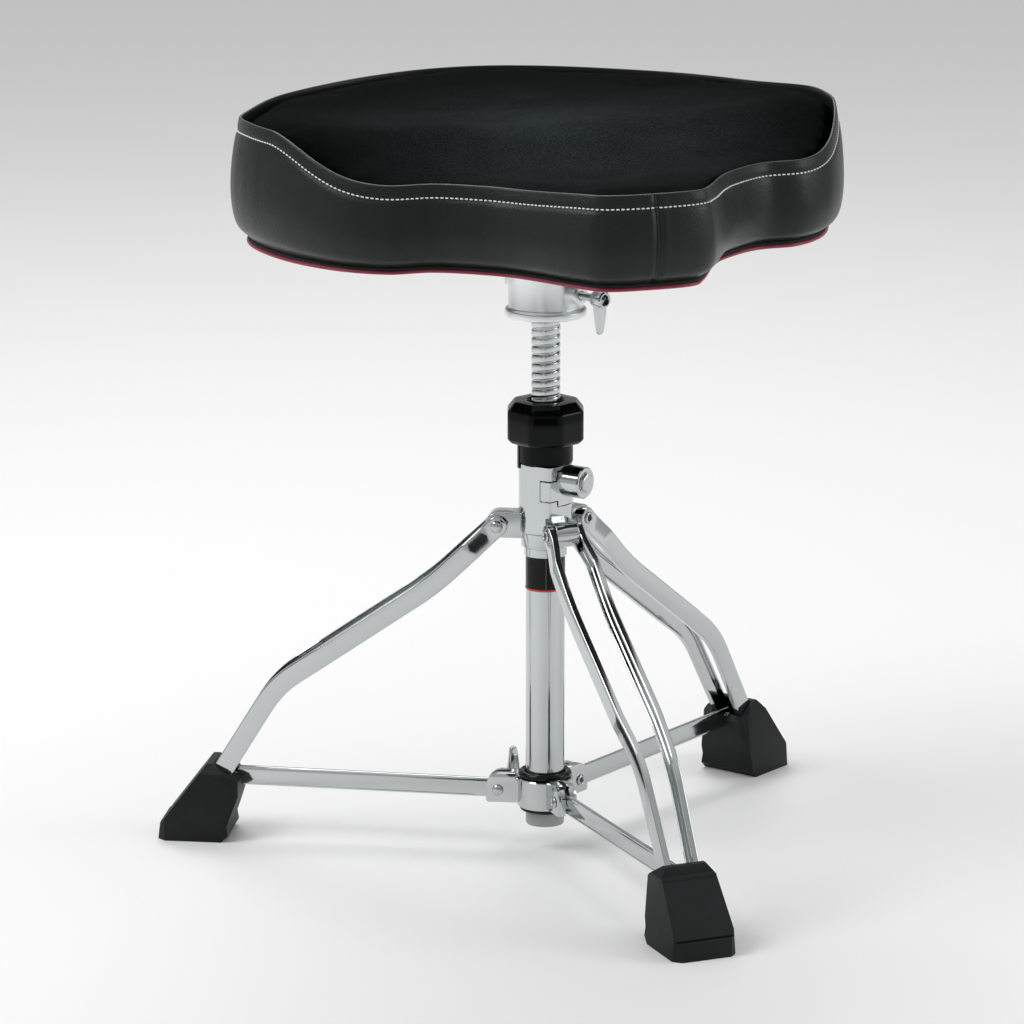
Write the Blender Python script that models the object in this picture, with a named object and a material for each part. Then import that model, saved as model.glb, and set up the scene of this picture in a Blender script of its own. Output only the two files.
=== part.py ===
"""Drum throne with a saddle seat, a threaded height adjuster and a folding tripod.

Metres, +Z up. The front leg points along -Y and the floor is at z = 0. Every azimuth is in degrees
about the column, counted from the front leg towards +X.
"""

from math import acos, atan2, copysign, cos, degrees, pi, radians, sin

import bmesh
import bpy
from mathutils import Matrix, Vector

mm = 0.001

# Fits
GAP = 0.3 * mm  # between pieces that touch
RUNNING = 0.35 * mm  # radial clearance round the rod and the tube
ROUND_SIDES = 24
SMALL_SIDES = 12

# Column
TUBE_RADIUS = 15 * mm
TUBE_WALL = 2 * mm
TUBE_BOTTOM = 31 * mm
END_CAP_DROP = 11.8 * mm  # what shows of the cap below the tube
END_CAP_PLUG = 13 * mm
BAND_BOTTOM = 208.9 * mm
BAND_HEIGHT = 24.4 * mm
BAND_DEPTH = 0.6 * mm  # groove in the tube under the band
BAND_PROUD = 0.2 * mm
BAND_RING_HEIGHT = 1.3 * mm

# Leg holder
HOLDER_BOTTOM = 233.6 * mm
HOLDER_LIP_RADIUS = 16.4 * mm
HOLDER_LIP_HEIGHT = 6.4 * mm
HOLDER_LOWER_RADIUS = 18.7 * mm
HOLDER_STEP = 252.2 * mm
HOLDER_RADIUS = 20.5 * mm
HOLDER_TOP = 306.8 * mm
HOLDER_CORNER_REACH = 25 * mm
HOLDER_CORNER_AZIMUTH = -15
LUG_RADIUS = 9.8 * mm
LUG_HALF_WIDTH = 9.2 * mm
SLEEVE_RADIUS = 21 * mm
SLEEVE_HEIGHT = 15.6 * mm
SLEEVE_SPIGOT = 10 * mm

# Clamp on the leg holder
JAW_PIN_AZIMUTH = -28
JAW_PIN_RADIUS = 1.5 * mm
JAW_PIN_AT = 18.6 * mm
JAW_END_AZIMUTH = -33
JAW_WIDE_AZIMUTH = 3
JAW_BOLT_AZIMUTH = 34
JAW_FAR_AZIMUTH = 62
JAW_INNER = 16.6 * mm
JAW_PROUD = 0.9 * mm
JAW_LOW = 276.2 * mm
JAW_HIGH = 302.7 * mm
JAW_LUG_LOW = 280.5 * mm
JAW_LUG_HIGH = 295.3 * mm
JAW_BOSS_RADIUS = 12.2 * mm
JAW_BOSS_REACH = 36.5 * mm
JAW_BOLT_HEIGHT = 294.4 * mm
JAW_BOLT_RADIUS = 4 * mm
JAW_BOLT_FLATS = 13.4 * mm
JAW_BOLT_HEAD = 2.2 * mm

# Height nut and rod
NUT_HEIGHT = 32 * mm
NUT_FLATS = 58 * mm
NUT_CHAMFER = 6.5 * mm
NUT_TOP_RADIUS = 25.5 * mm
NUT_MOUTH_RADIUS = 14.5 * mm
NUT_AZIMUTH = -23
INSERT_RADIUS = 17 * mm
INSERT_HEIGHT = 21 * mm
ROD_RADIUS = 11.25 * mm
ROD_UP = 105 * mm  # travel above rest
ROD_STOP_HEIGHT = 6 * mm

# Seat bracket
HUB_BOTTOM = 420.6 * mm
HUB_FLANGE_RADIUS = 31 * mm
HUB_FLANGE_HEIGHT = 6.4 * mm
HUB_RADIUS = 28.4 * mm
HUB_SOCKET = 45 * mm
HUB_EAR_AZIMUTH = -110
HUB_EAR_WIDTH = 20 * mm
HUB_EAR_LOW = 446 * mm
PLATE_LENGTH = 150 * mm
PLATE_WIDTH = 116 * mm
PLATE_THICK = 3.2 * mm
SCREW_RADIUS = 3 * mm
SCREW_HEAD_RADIUS = 5.5 * mm
SCREW_HEAD = 3 * mm
SCREW_INSET = 13 * mm
SEAT_BOLT_AZIMUTH = 25
SEAT_BOLT_HEIGHT = 441 * mm
SEAT_BOLT_BOSS = 38 * mm
SEAT_BOLT_BOSS_RADIUS = 7.5 * mm
SEAT_BOLT_SHOWN = 14 * mm  # thread between the boss and the wing

# Wing bolts
WING_HUB_RADIUS = 6.4 * mm
WING_HUB_LENGTH = 11 * mm
WING_BOLT_RADIUS = 3 * mm
WING_LENGTH = 27 * mm
WING_ROOT = 10.5 * mm
WING_TIP = 7.5 * mm
WING_THICK = 6 * mm

# Seat, in its own frame: +X right, -Y towards the nose
SEAT_TURN = -3
SEAT_EDGE = (  # half of the outline, from the nose to the rear
    (0, -228),
    (35, -224),
    (52, -205),
    (80, -156),
    (103, -132),
    (130, -115),
    (163, -111),
    (195, -85),
    (219, -40),
    (229, 12),
    (224, 54),
    (201, 100),
    (161, 152),
    (106, 187),
    (50, 204),
    (0, 208),
)
EDGE_STEPS = 3  # points between two of those
SEAT_BOTTOM = 482 * mm
PIPING_RADIUS = 2 * mm
PIPING_INSET = 6 * mm  # its middle from the outline
PIPING_SIDES = 6
BOTTOM_COVER_THICK = 1.5 * mm
BOARD_THICK = 12 * mm
T_NUT_FLANGE = 8 * mm
T_NUT_BARREL = 4.3 * mm
T_NUT_THICK = 1.2 * mm
T_NUT_DEPTH = 8 * mm
LEATHER_THICK = 2 * mm
CLOTH_THICK = 3 * mm
TUCK = 8 * mm  # the wall's lower edge from the outline
BULGE = 7.2 * mm
WALL_CURVE = ((0.04, -0.6), (0.13, 0.5), (0.3, 0.95), (0.5, 1), (0.75, 0.68), (1, 0.07))
RIM_LOW = 64.5 * mm  # rim above the piping at the waist of the saddle
RIM_RISE = 30 * mm
REAR_FALL = 4.5 * mm  # of the rim at the two rear corners
RISE_FROM = -114 * mm
RISE_TO = -22 * mm
NOSE_RISE = 4.5 * mm
DISH = 9 * mm

# Legs, as seen from the side: (distance from the column, height)
LEG_PIVOT = (35.8 * mm, 257.4 * mm)
LEG_BEND_HIGH = (85 * mm, 210 * mm)
LEG_BEND_LOW = (208 * mm, 125 * mm)
LEG_ENTRY = (248.5 * mm, 59 * mm)
LEG_END_HEIGHT = 33 * mm
LEG_TAB = 8 * mm  # past the pivot
STRIP_HEIGHT = 15.5 * mm
STRIP_DEPTH = 5 * mm
STRIP_WALL = 1.8 * mm
STRIP_CHAMFER = 0.9 * mm
STRIP_AT_PIVOT = 12 * mm  # middle of the strip from the leg's mid plane
STRIP_WIDE = 15.5 * mm
STRIP_AT_FOOT = 11.5 * mm
JOGGLE_FROM = 0.14  # share of the way from the pivot to the high bend
JOGGLE_TO = 0.42
LEG_PIN_RADIUS = 3 * mm
LEG_PIN_HEAD = 4.8 * mm
LEG_PIN_DOME = 2.6 * mm

# Feet
FOOT_INNER = 251 * mm
FOOT_OUTER = 301.5 * mm
FOOT_LIP = 14 * mm
FOOT_HEIGHT = 61 * mm
FOOT_TOP_OUTER = 263 * mm
FOOT_TOP_INNER = 238.5 * mm
FOOT_INNER_HEIGHT = 47 * mm
FOOT_HALF_WIDTH = 25.6 * mm
FOOT_LEAN = 0.07  # of its sides, mm for each mm of height
FOOT_CHAMFER = 7 * mm
FOOT_SLOT_FLOOR = 28 * mm

# Collar and braces
COLLAR_BOTTOM = 33.6 * mm
COLLAR_HEIGHT = 22.8 * mm
COLLAR_RADIUS = 21.5 * mm
CLEVIS_LOW = 36 * mm
CLEVIS_HIGH = 59.5 * mm
CLEVIS_REACH = 45.2 * mm
CLEVIS_ROUND = 11 * mm
CLEVIS_HALF_WIDTH = 7.5 * mm
COLLAR_PIVOT = (35.9 * mm, 45.75 * mm)
FOOT_PIVOT = (245 * mm, 48.5 * mm)
BRACE_HEIGHT = 15 * mm
BRACE_THICK = 3 * mm
PIN_RADIUS = 2 * mm
PIN_HEAD = 4.4 * mm
PIN_DOME = 2.6 * mm
TOP_RING_MINOR = 2.6 * mm
LOW_RING_RADIUS = 19.6 * mm
LOW_RING_HEIGHT = 3 * mm
COLLAR_BOLT_AZIMUTH = -163
COLLAR_BOLT_HEIGHT = 45 * mm
COLLAR_BOLT_BOSS = 28 * mm
COLLAR_BOLT_BOSS_RADIUS = 6.6 * mm
COLLAR_BOLT_SHOWN = 5 * mm

LEG_AZIMUTHS = {"front": 0, "left": -120, "right": 120}

# Worked out from the sizes above
SEAT_REAR = SEAT_EDGE[-1][1] * mm
COLUMN_Y = (FOOT_OUTER - SEAT_REAR - BULGE) / 2
TUBE_TOP = HOLDER_TOP - SLEEVE_SPIGOT - GAP
SLEEVE_BOTTOM = HOLDER_TOP - SLEEVE_SPIGOT + GAP
SLEEVE_TOP = HOLDER_TOP + GAP + SLEEVE_HEIGHT
NUT_BOTTOM = SLEEVE_TOP + GAP
NUT_TOP = NUT_BOTTOM + NUT_HEIGHT
ROD_TOP = HUB_BOTTOM + HUB_SOCKET
ROD_BOTTOM = SLEEVE_BOTTOM - ROD_UP - ROD_STOP_HEIGHT - GAP
PLATE_TOP = SEAT_BOTTOM - GAP
COVER_TOP = SEAT_BOTTOM + BOTTOM_COVER_THICK
BOARD_BOTTOM = COVER_TOP + GAP
BOARD_TOP = BOARD_BOTTOM + BOARD_THICK
FOAM_BOTTOM = BOARD_TOP + T_NUT_THICK + 2 * GAP
PIPING_HEIGHT = SEAT_BOTTOM + PIPING_RADIUS
WALL_BOTTOM = SEAT_BOTTOM + 2 * PIPING_RADIUS + GAP


# ---------------------------------------------------------------- helpers


def clear_scene():
    for obj in list(bpy.data.objects):
        bpy.data.objects.remove(obj, do_unlink=True)


def finish(name, colour, roughness, metallic=0.0):
    material = bpy.data.materials.new(name)
    material.use_nodes = True
    shader = material.node_tree.nodes["Principled BSDF"]
    shader.inputs["Base Color"].default_value = (*colour, 1)
    shader.inputs["Roughness"].default_value = roughness
    shader.inputs["Metallic"].default_value = metallic
    return material


def outward(azimuth):
    return Vector((sin(radians(azimuth)), -cos(radians(azimuth)), 0))


def empty(name, parent=None, at=(0, 0, 0), turn=0.0):
    """A frame whose +Z is up. turn is in degrees about Z."""
    obj = bpy.data.objects.new(name, None)
    bpy.context.collection.objects.link(obj)
    obj.parent = parent
    obj.location = at
    obj.rotation_euler.z = radians(turn)
    return obj


def spoke(name, parent, azimuth, distance, height):
    """A frame on the spoke at this azimuth, with +X outward and +Z up."""
    return empty(name, parent, outward(azimuth) * distance + Vector((0, 0, height)), azimuth - 90)


def add(name, bm, material, parent, at=(0, 0, 0)):
    bmesh.ops.remove_doubles(bm, verts=bm.verts, dist=1e-6)
    bmesh.ops.recalc_face_normals(bm, faces=bm.faces)
    mesh = bpy.data.meshes.new(name)
    bm.to_mesh(mesh)
    bm.free()
    mesh.shade_smooth()
    mesh.set_sharp_from_angle(angle=radians(35))
    if material:
        mesh.materials.append(material)
    obj = bpy.data.objects.new(name, mesh)
    bpy.context.collection.objects.link(obj)
    obj.parent = parent
    obj.location = at
    return obj


def helper(obj):
    """A cutter or an added lump: it shapes another piece and is no piece itself."""
    obj.hide_render = True
    obj.display_type = "WIRE"
    return obj


def combine(obj, operation, *others):
    for other in others:
        modifier = obj.modifiers.new(other.name, "BOOLEAN")
        modifier.operation = operation
        modifier.solver = "EXACT"
        modifier.object = helper(other)
    return obj


def turned(profile, sides=ROUND_SIDES, turn=0.0):
    """A closed profile of (radius, height) turned about Z."""
    bm = bmesh.new()
    points = [bm.verts.new((r, 0, z)) for r, z in profile]
    edges = [bm.edges.new(pair) for pair in zip(points, points[1:] + points[:1])]
    bmesh.ops.rotate(bm, verts=bm.verts, matrix=Matrix.Rotation(radians(turn), 3, "Z"))
    bmesh.ops.spin(bm, geom=points + edges, axis=(0, 0, 1), cent=(0, 0, 0), angle=2 * pi,
                   steps=sides, use_merge=True)
    bmesh.ops.remove_doubles(bm, verts=bm.verts, dist=1e-6)
    bmesh.ops.dissolve_degenerate(bm, dist=1e-6, edges=bm.edges)
    drop_axis_faces(bm)
    return bm


def drop_axis_faces(bm):
    """Removes the loose edge that a profile's run along the axis leaves."""
    loose = [e for e in bm.edges if not e.link_faces]
    bmesh.ops.delete(bm, geom=loose, context="EDGES")


def rod(radius, low, high, sides=SMALL_SIDES):
    return turned([(0, low), (radius, low), (radius, high), (0, high)], sides)


def prism(outline, low, high):
    """An outline of (x, y) raised from low to high along Z."""
    bm = bmesh.new()
    face = bm.faces.new([bm.verts.new((x, y, low)) for x, y in outline])
    raised = bmesh.ops.extrude_face_region(bm, geom=[face])["geom"]
    tops = [v for v in raised if isinstance(v, bmesh.types.BMVert)]
    bmesh.ops.translate(bm, verts=tops, vec=(0, 0, high - low))
    return bm


def upright(bm):
    """Turns a prism drawn in (x, z) so that it stands up and is thick along Y."""
    bmesh.ops.rotate(bm, verts=bm.verts, matrix=Matrix.Rotation(pi / 2, 3, "X"))
    return bm


def along_x(bm):
    bmesh.ops.rotate(bm, verts=bm.verts, matrix=Matrix.Rotation(pi / 2, 3, "Y"))
    return bm


def side_prism(outline, half_width):
    """A side view of (x, z) made thick by half_width each way along Y."""
    return upright(prism(outline, -half_width, half_width))


def arc(centre, radius, start, end, steps):
    """Points on an arc, angles in degrees, both ends included."""
    angles = [radians(start + (end - start) * i / steps) for i in range(steps + 1)]
    return [(centre[0] + radius * cos(a), centre[1] + radius * sin(a)) for a in angles]


def dome(radius, rise, base, steps=2):
    """Profile points of a round head, from its rim at base to its top on the axis."""
    return [(radius * cos(pi / 2 * i / steps), base + rise * sin(pi / 2 * i / steps))
            for i in range(steps + 1)]


def rivet(name, material, parent, radius, head, rise, half_grip):
    """A pin along Y through the origin with a domed head at each end."""
    grip = half_grip + GAP
    top = [(radius, grip), (head, grip)] + dome(head, rise, grip)[1:]
    profile = [(r, -z) for r, z in reversed(top)] + top
    bm = turned(profile, SMALL_SIDES)
    bmesh.ops.rotate(bm, verts=bm.verts, matrix=Matrix.Rotation(pi / 2, 3, "X"))
    return add(name, bm, material, parent)


# ---------------------------------------------------------------- column and leg holder


def build_column(column, chrome, grey, black, red):
    groove_low = BAND_BOTTOM - BAND_RING_HEIGHT - 2 * GAP
    groove_high = BAND_BOTTOM + BAND_HEIGHT + GAP
    bore = TUBE_RADIUS - TUBE_WALL
    groove = TUBE_RADIUS - BAND_DEPTH
    tube = turned([
        (TUBE_RADIUS, TUBE_TOP), (bore, TUBE_TOP), (bore, TUBE_BOTTOM), (TUBE_RADIUS, TUBE_BOTTOM),
        (TUBE_RADIUS, groove_low), (groove, groove_low), (groove, groove_high),
        (TUBE_RADIUS, groove_high),
    ])
    add("base_tube", tube, chrome, column)
    band_inner = groove + GAP
    band_outer = TUBE_RADIUS + BAND_PROUD
    band = turned(ring_profile(band_inner, band_outer, BAND_BOTTOM, BAND_BOTTOM + BAND_HEIGHT))
    add("tube_band", band, black, column)
    ring = turned(ring_profile(band_inner, band_outer, BAND_BOTTOM - BAND_RING_HEIGHT - GAP,
                               BAND_BOTTOM - GAP))
    add("band_ring", ring, red, column)
    cap_radius = TUBE_RADIUS - 0.5 * GAP
    plug = bore - GAP
    cap_bottom = TUBE_BOTTOM - GAP - END_CAP_DROP
    cap = turned([
        (0, cap_bottom), (cap_radius - mm, cap_bottom), (cap_radius, cap_bottom + mm),
        (cap_radius, TUBE_BOTTOM - GAP), (plug, TUBE_BOTTOM - GAP),
        (plug, TUBE_BOTTOM + END_CAP_PLUG), (0, TUBE_BOTTOM + END_CAP_PLUG),
    ])
    add("tube_end_cap", cap, grey, column)


def ring_profile(inner, outer, low, high):
    return [(outer, low), (outer, high), (inner, high), (inner, low)]


def build_holder(column, chrome, black):
    bore = TUBE_RADIUS + GAP
    lip_top = HOLDER_BOTTOM + HOLDER_LIP_HEIGHT
    slope = 1.5 * mm
    solid = turned([
        (bore, HOLDER_BOTTOM), (HOLDER_LIP_RADIUS, HOLDER_BOTTOM), (HOLDER_LIP_RADIUS, lip_top),
        (HOLDER_LOWER_RADIUS, lip_top + slope), (HOLDER_LOWER_RADIUS, HOLDER_STEP),
        (HOLDER_RADIUS, HOLDER_STEP + slope), (HOLDER_RADIUS, HOLDER_TOP), (bore, HOLDER_TOP),
    ])
    holder = add("leg_holder", solid, chrome, column)
    combine(holder, "UNION", add("holder_corner", corner_wedge(), None, column))
    for name, azimuth in LEG_AZIMUTHS.items():
        frame = spoke(f"lug_frame_{name}", column, azimuth, 0, 0)
        combine(holder, "UNION", add(f"lug_{name}", side_prism(lug_outline(), LUG_HALF_WIDTH),
                                     None, frame))
    for name, azimuth in LEG_AZIMUTHS.items():
        frame = spoke(f"lug_hole_frame_{name}", column, azimuth, *LEG_PIVOT)
        hole = upright(rod(LEG_PIN_RADIUS + GAP, -STRIP_WIDE, STRIP_WIDE))
        combine(holder, "DIFFERENCE", add(f"lug_hole_{name}", hole, None, frame))
    window = 2 * GAP
    for name, start, low, high in (
        ("lug", JAW_END_AZIMUTH, JAW_LUG_LOW, JAW_LUG_HIGH),
        ("body", JAW_WIDE_AZIMUTH, JAW_LOW, JAW_HIGH),
    ):
        cutter = prism(jaw_plan(start, window, HOLDER_CORNER_REACH), low - window, high + window)
        combine(holder, "DIFFERENCE", add(f"jaw_window_{name}", cutter, None, column))
    pin_hole = rod(JAW_PIN_RADIUS + GAP, JAW_LOW - GAP, JAW_HIGH - GAP)
    combine(holder, "DIFFERENCE", add("jaw_pin_hole", pin_hole, None, column,
                                      outward(JAW_PIN_AZIMUTH) * JAW_PIN_AT))
    sleeve_bore = ROD_RADIUS + RUNNING
    sleeve = turned([
        (SLEEVE_RADIUS, HOLDER_TOP + GAP), (SLEEVE_RADIUS, SLEEVE_TOP), (sleeve_bore, SLEEVE_TOP),
        (sleeve_bore, SLEEVE_BOTTOM), (bore - GAP, SLEEVE_BOTTOM), (bore - GAP, HOLDER_TOP + GAP),
    ])
    add("neck_sleeve", sleeve, black, column)
    return holder


def corner_wedge():
    """The corner edge on the holder: two flats that run off the round body as tangents."""
    half = degrees(acos(HOLDER_RADIUS / HOLDER_CORNER_REACH))
    points = [outward(HOLDER_CORNER_AZIMUTH) * HOLDER_CORNER_REACH]
    points += [outward(HOLDER_CORNER_AZIMUTH + half) * HOLDER_RADIUS]
    points += [outward(HOLDER_CORNER_AZIMUTH) * (TUBE_RADIUS + 1.5 * mm)]
    points += [outward(HOLDER_CORNER_AZIMUTH - half) * HOLDER_RADIUS]
    return prism([(p.x, p.y) for p in points], HOLDER_STEP + 1.9 * mm, HOLDER_TOP - 0.2 * mm)


def lug_outline():
    x, z = LEG_PIVOT
    root = TUBE_RADIUS + mm
    return [(root, z - LUG_RADIUS)] + arc((x, z), LUG_RADIUS, -90, 90, 12) + [(root, z + LUG_RADIUS)]


def holder_reach(azimuth):
    """Distance from the column's axis to the holder's outside at this azimuth."""
    away = abs(azimuth - HOLDER_CORNER_AZIMUTH)
    half = degrees(acos(HOLDER_RADIUS / HOLDER_CORNER_REACH))
    if away >= half:
        return HOLDER_RADIUS
    return HOLDER_RADIUS / cos(radians(half - away))


def jaw_plan(start, margin=0.0, reach=None):
    """Plan of the jaw between its end and the clamp bolt. margin widens it for its window."""
    spread = degrees(margin / HOLDER_RADIUS)
    first = start - spread
    last = JAW_FAR_AZIMUTH + spread
    angles = [first] + [a for a in range(-90, 91, 5) if first + 1 < a < last - 1] + [last]
    outer = [outward(a) * ((reach + 3 * mm) if reach else holder_reach(a) + JAW_PROUD) for a in angles]
    inner = [outward(a) * (JAW_INNER - 0.6 * margin) for a in reversed(angles)]
    return [(p.x, p.y) for p in outer + inner]


def build_clamp(column, chrome, steel):
    """The jaw turns about its pin, and the bolt about its own axis."""
    pivot_at = outward(JAW_PIN_AZIMUTH) * JAW_PIN_AT
    pivot = empty("clamp_jaw_pivot", column, pivot_at)
    back = -pivot_at
    jaw = add("clamp_jaw", prism(jaw_plan(JAW_WIDE_AZIMUTH), JAW_LOW, JAW_HIGH), chrome, pivot, back)
    lug = add("clamp_jaw_lug", prism(jaw_plan(JAW_END_AZIMUTH), JAW_LUG_LOW, JAW_LUG_HIGH),
              None, pivot, back)
    bolt_frame = spoke("clamp_bolt_pivot", pivot, JAW_BOLT_AZIMUTH, 0, JAW_BOLT_HEIGHT)
    bolt_frame.location += back
    boss_root = JAW_INNER + 2.5 * mm
    boss = add("clamp_jaw_boss", along_x(rod(JAW_BOSS_RADIUS, boss_root, JAW_BOSS_REACH, ROUND_SIDES)),
               None, bolt_frame)
    combine(jaw, "UNION", lug, boss)
    trim = add("clamp_jaw_trim", rod(JAW_INNER, 0, 1, ROUND_SIDES), None, pivot, back)
    holder_side = add("clamp_jaw_relief", prism(holder_clearance(), 0, JAW_LOW), None, pivot, back)
    holder_top = add("clamp_jaw_relief_top", prism(holder_clearance(), JAW_HIGH, 1), None, pivot, back)
    hole = add("clamp_jaw_bolt_hole", along_x(rod(JAW_BOLT_RADIUS + GAP, 0, 1)), None, bolt_frame)
    pin_hole = add("clamp_jaw_pin_hole", rod(JAW_PIN_RADIUS + GAP, 0, 1), None, pivot)
    combine(jaw, "DIFFERENCE", trim, holder_side, holder_top, hole, pin_hole)
    shank = along_x(rod(JAW_BOLT_RADIUS, JAW_INNER + mm, JAW_BOSS_REACH + GAP + JAW_BOLT_HEAD))
    bolt = add("clamp_bolt", shank, steel, bolt_frame)
    corner = JAW_BOLT_FLATS / 2 / cos(pi / 6)
    head = along_x(rod(corner, JAW_BOSS_REACH + GAP, JAW_BOSS_REACH + GAP + JAW_BOLT_HEAD, 6))
    combine(bolt, "UNION", add("clamp_bolt_head", head, None, bolt_frame))
    pin = rod(JAW_PIN_RADIUS, JAW_LOW, JAW_HIGH - 2 * GAP)
    add("clamp_jaw_pin", pin, steel, column, pivot_at)


def holder_clearance():
    """Plan of the holder with a gap round it, for the boss to stand clear of it."""
    angles = [10 * i for i in range(36)]
    points = [outward(a) * (holder_reach((a + 180) % 360 - 180) + 2 * GAP) for a in angles]
    return [(p.x, p.y) for p in points]


# ---------------------------------------------------------------- height nut and rod


def build_height_adjuster(column, black, steel, chrome):
    corner = NUT_FLATS / 2 / cos(pi / 8)
    low_corner = corner - 2.5 * mm
    shell = turned([
        (0, NUT_BOTTOM), (low_corner, NUT_BOTTOM), (corner, NUT_BOTTOM + 3 * mm),
        (corner, NUT_TOP - NUT_CHAMFER), (NUT_TOP_RADIUS, NUT_TOP), (0, NUT_TOP),
    ], sides=8, turn=NUT_AZIMUTH - 90 + 22.5)
    nut = add("height_nut", shell, black, column)
    pocket_top = NUT_BOTTOM + INSERT_HEIGHT + 2 * GAP
    pocket = rod(INSERT_RADIUS + GAP, 0, pocket_top, ROUND_SIDES)
    throat = turned([
        (0, NUT_BOTTOM), (ROD_RADIUS + RUNNING, NUT_BOTTOM), (ROD_RADIUS + RUNNING, pocket_top),
        (NUT_MOUTH_RADIUS, NUT_TOP), (NUT_MOUTH_RADIUS, NUT_TOP + mm), (0, NUT_TOP + mm),
    ])
    combine(nut, "DIFFERENCE", add("nut_pocket", pocket, None, column),
            add("nut_throat", throat, None, column))
    insert = turned(ring_profile(ROD_RADIUS + RUNNING, INSERT_RADIUS, NUT_BOTTOM + GAP,
                                 NUT_BOTTOM + GAP + INSERT_HEIGHT))
    add("nut_insert", insert, steel, column)
    chamfer = 1.2 * mm
    shaft = turned([
        (0, ROD_BOTTOM + GAP), (ROD_RADIUS - chamfer, ROD_BOTTOM + GAP),
        (ROD_RADIUS - chamfer, ROD_BOTTOM + ROD_STOP_HEIGHT + GAP),
        (ROD_RADIUS, ROD_BOTTOM + ROD_STOP_HEIGHT + GAP), (ROD_RADIUS, ROD_TOP), (0, ROD_TOP),
    ])
    add("threaded_rod", shaft, chrome, column)
    stop_inner = ROD_RADIUS - chamfer + GAP
    stop_outer = TUBE_RADIUS - TUBE_WALL - RUNNING
    stop = turned(ring_profile(stop_inner, stop_outer, ROD_BOTTOM, ROD_BOTTOM + ROD_STOP_HEIGHT))
    add("rod_stop", stop, steel, column)


# ---------------------------------------------------------------- seat bracket


def screw_places():
    x = PLATE_LENGTH / 2 - SCREW_INSET
    y = PLATE_WIDTH / 2 - SCREW_INSET
    return [(x, y), (-x, y), (-x, -y), (x, -y)]


def rounded_rectangle(length, width, radius, steps=4):
    x = length / 2 - radius
    y = width / 2 - radius
    points = []
    for centre, start in (((x, y), 0), ((-x, y), 90), ((-x, -y), 180), ((x, -y), 270)):
        points += arc(centre, radius, start, start + 90, steps)
    return points


def build_bracket(seat, cast, steel):
    soft = 1.2 * mm
    flange_top = HUB_BOTTOM + HUB_FLANGE_HEIGHT
    plate_bottom = PLATE_TOP - PLATE_THICK
    body = turned([
        (0, HUB_BOTTOM), (HUB_FLANGE_RADIUS - soft, HUB_BOTTOM), (HUB_FLANGE_RADIUS, HUB_BOTTOM + soft),
        (HUB_FLANGE_RADIUS, flange_top - soft), (HUB_FLANGE_RADIUS - soft, flange_top),
        (HUB_RADIUS, flange_top), (HUB_RADIUS, PLATE_TOP - mm), (0, PLATE_TOP - mm),
    ])
    hub = add("seat_hub", body, cast, seat)
    plate = prism(rounded_rectangle(PLATE_LENGTH, PLATE_WIDTH, SCREW_INSET), plate_bottom, PLATE_TOP)
    ear_frame = spoke("hub_ear_frame", seat, HUB_EAR_AZIMUTH, 0, 0)
    ear_outline = [(0, HUB_EAR_LOW), (HUB_FLANGE_RADIUS, HUB_EAR_LOW), (HUB_FLANGE_RADIUS, PLATE_TOP - mm),
                   (0, PLATE_TOP - mm)]
    ear = add("hub_ear", side_prism(ear_outline, HUB_EAR_WIDTH / 2), None, ear_frame)
    bolt_frame = spoke("seat_bolt_pivot", seat, SEAT_BOLT_AZIMUTH, 0, SEAT_BOLT_HEIGHT)
    boss = along_x(rod(SEAT_BOLT_BOSS_RADIUS, HUB_RADIUS - 8 * mm, SEAT_BOLT_BOSS, ROUND_SIDES))
    combine(hub, "UNION", add("hub_plate", plate, None, seat), ear,
            add("hub_boss", boss, None, bolt_frame))
    socket = rod(ROD_RADIUS + RUNNING, HUB_BOTTOM - mm, ROD_TOP + GAP, ROUND_SIDES)
    bolt_hole = along_x(rod(WING_BOLT_RADIUS + GAP, ROD_RADIUS - mm, SEAT_BOLT_BOSS + mm))
    combine(hub, "DIFFERENCE", add("hub_socket", socket, None, seat),
            add("hub_bolt_hole", bolt_hole, None, bolt_frame))
    for number, (x, y) in enumerate(screw_places(), 1):
        hole = rod(SCREW_RADIUS + GAP, plate_bottom - mm, PLATE_TOP + mm)
        combine(hub, "DIFFERENCE", add(f"hub_screw_hole_{number}", hole, None, seat, (x, y, 0)))
        head = plate_bottom - GAP
        screw = turned([
            (0, head - SCREW_HEAD), (0.7 * SCREW_HEAD_RADIUS, head - SCREW_HEAD),
            (SCREW_HEAD_RADIUS, head - 0.5 * SCREW_HEAD), (SCREW_HEAD_RADIUS, head),
            (SCREW_RADIUS, head), (SCREW_RADIUS, BOARD_TOP), (0, BOARD_TOP),
        ], SMALL_SIDES)
        add(f"bracket_screw_{number}", screw, steel, seat, (x, y, 0))
        seat_at = BOARD_TOP + GAP
        t_nut = turned([
            (T_NUT_BARREL, seat_at), (T_NUT_FLANGE, seat_at), (T_NUT_FLANGE, seat_at + T_NUT_THICK),
            (SCREW_RADIUS + GAP, seat_at + T_NUT_THICK), (SCREW_RADIUS + GAP, seat_at - T_NUT_DEPTH),
            (T_NUT_BARREL, seat_at - T_NUT_DEPTH),
        ], SMALL_SIDES)
        add(f"t_nut_{number}", t_nut, steel, seat, (x, y, 0))
    wing_bolt("seat_wing_bolt", chrome_of(cast), bolt_frame, ROD_RADIUS + 2 * GAP,
              SEAT_BOLT_BOSS + SEAT_BOLT_SHOWN, points_up=False)


def chrome_of(fallback):
    return bpy.data.materials.get("chrome_plate") or fallback


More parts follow.
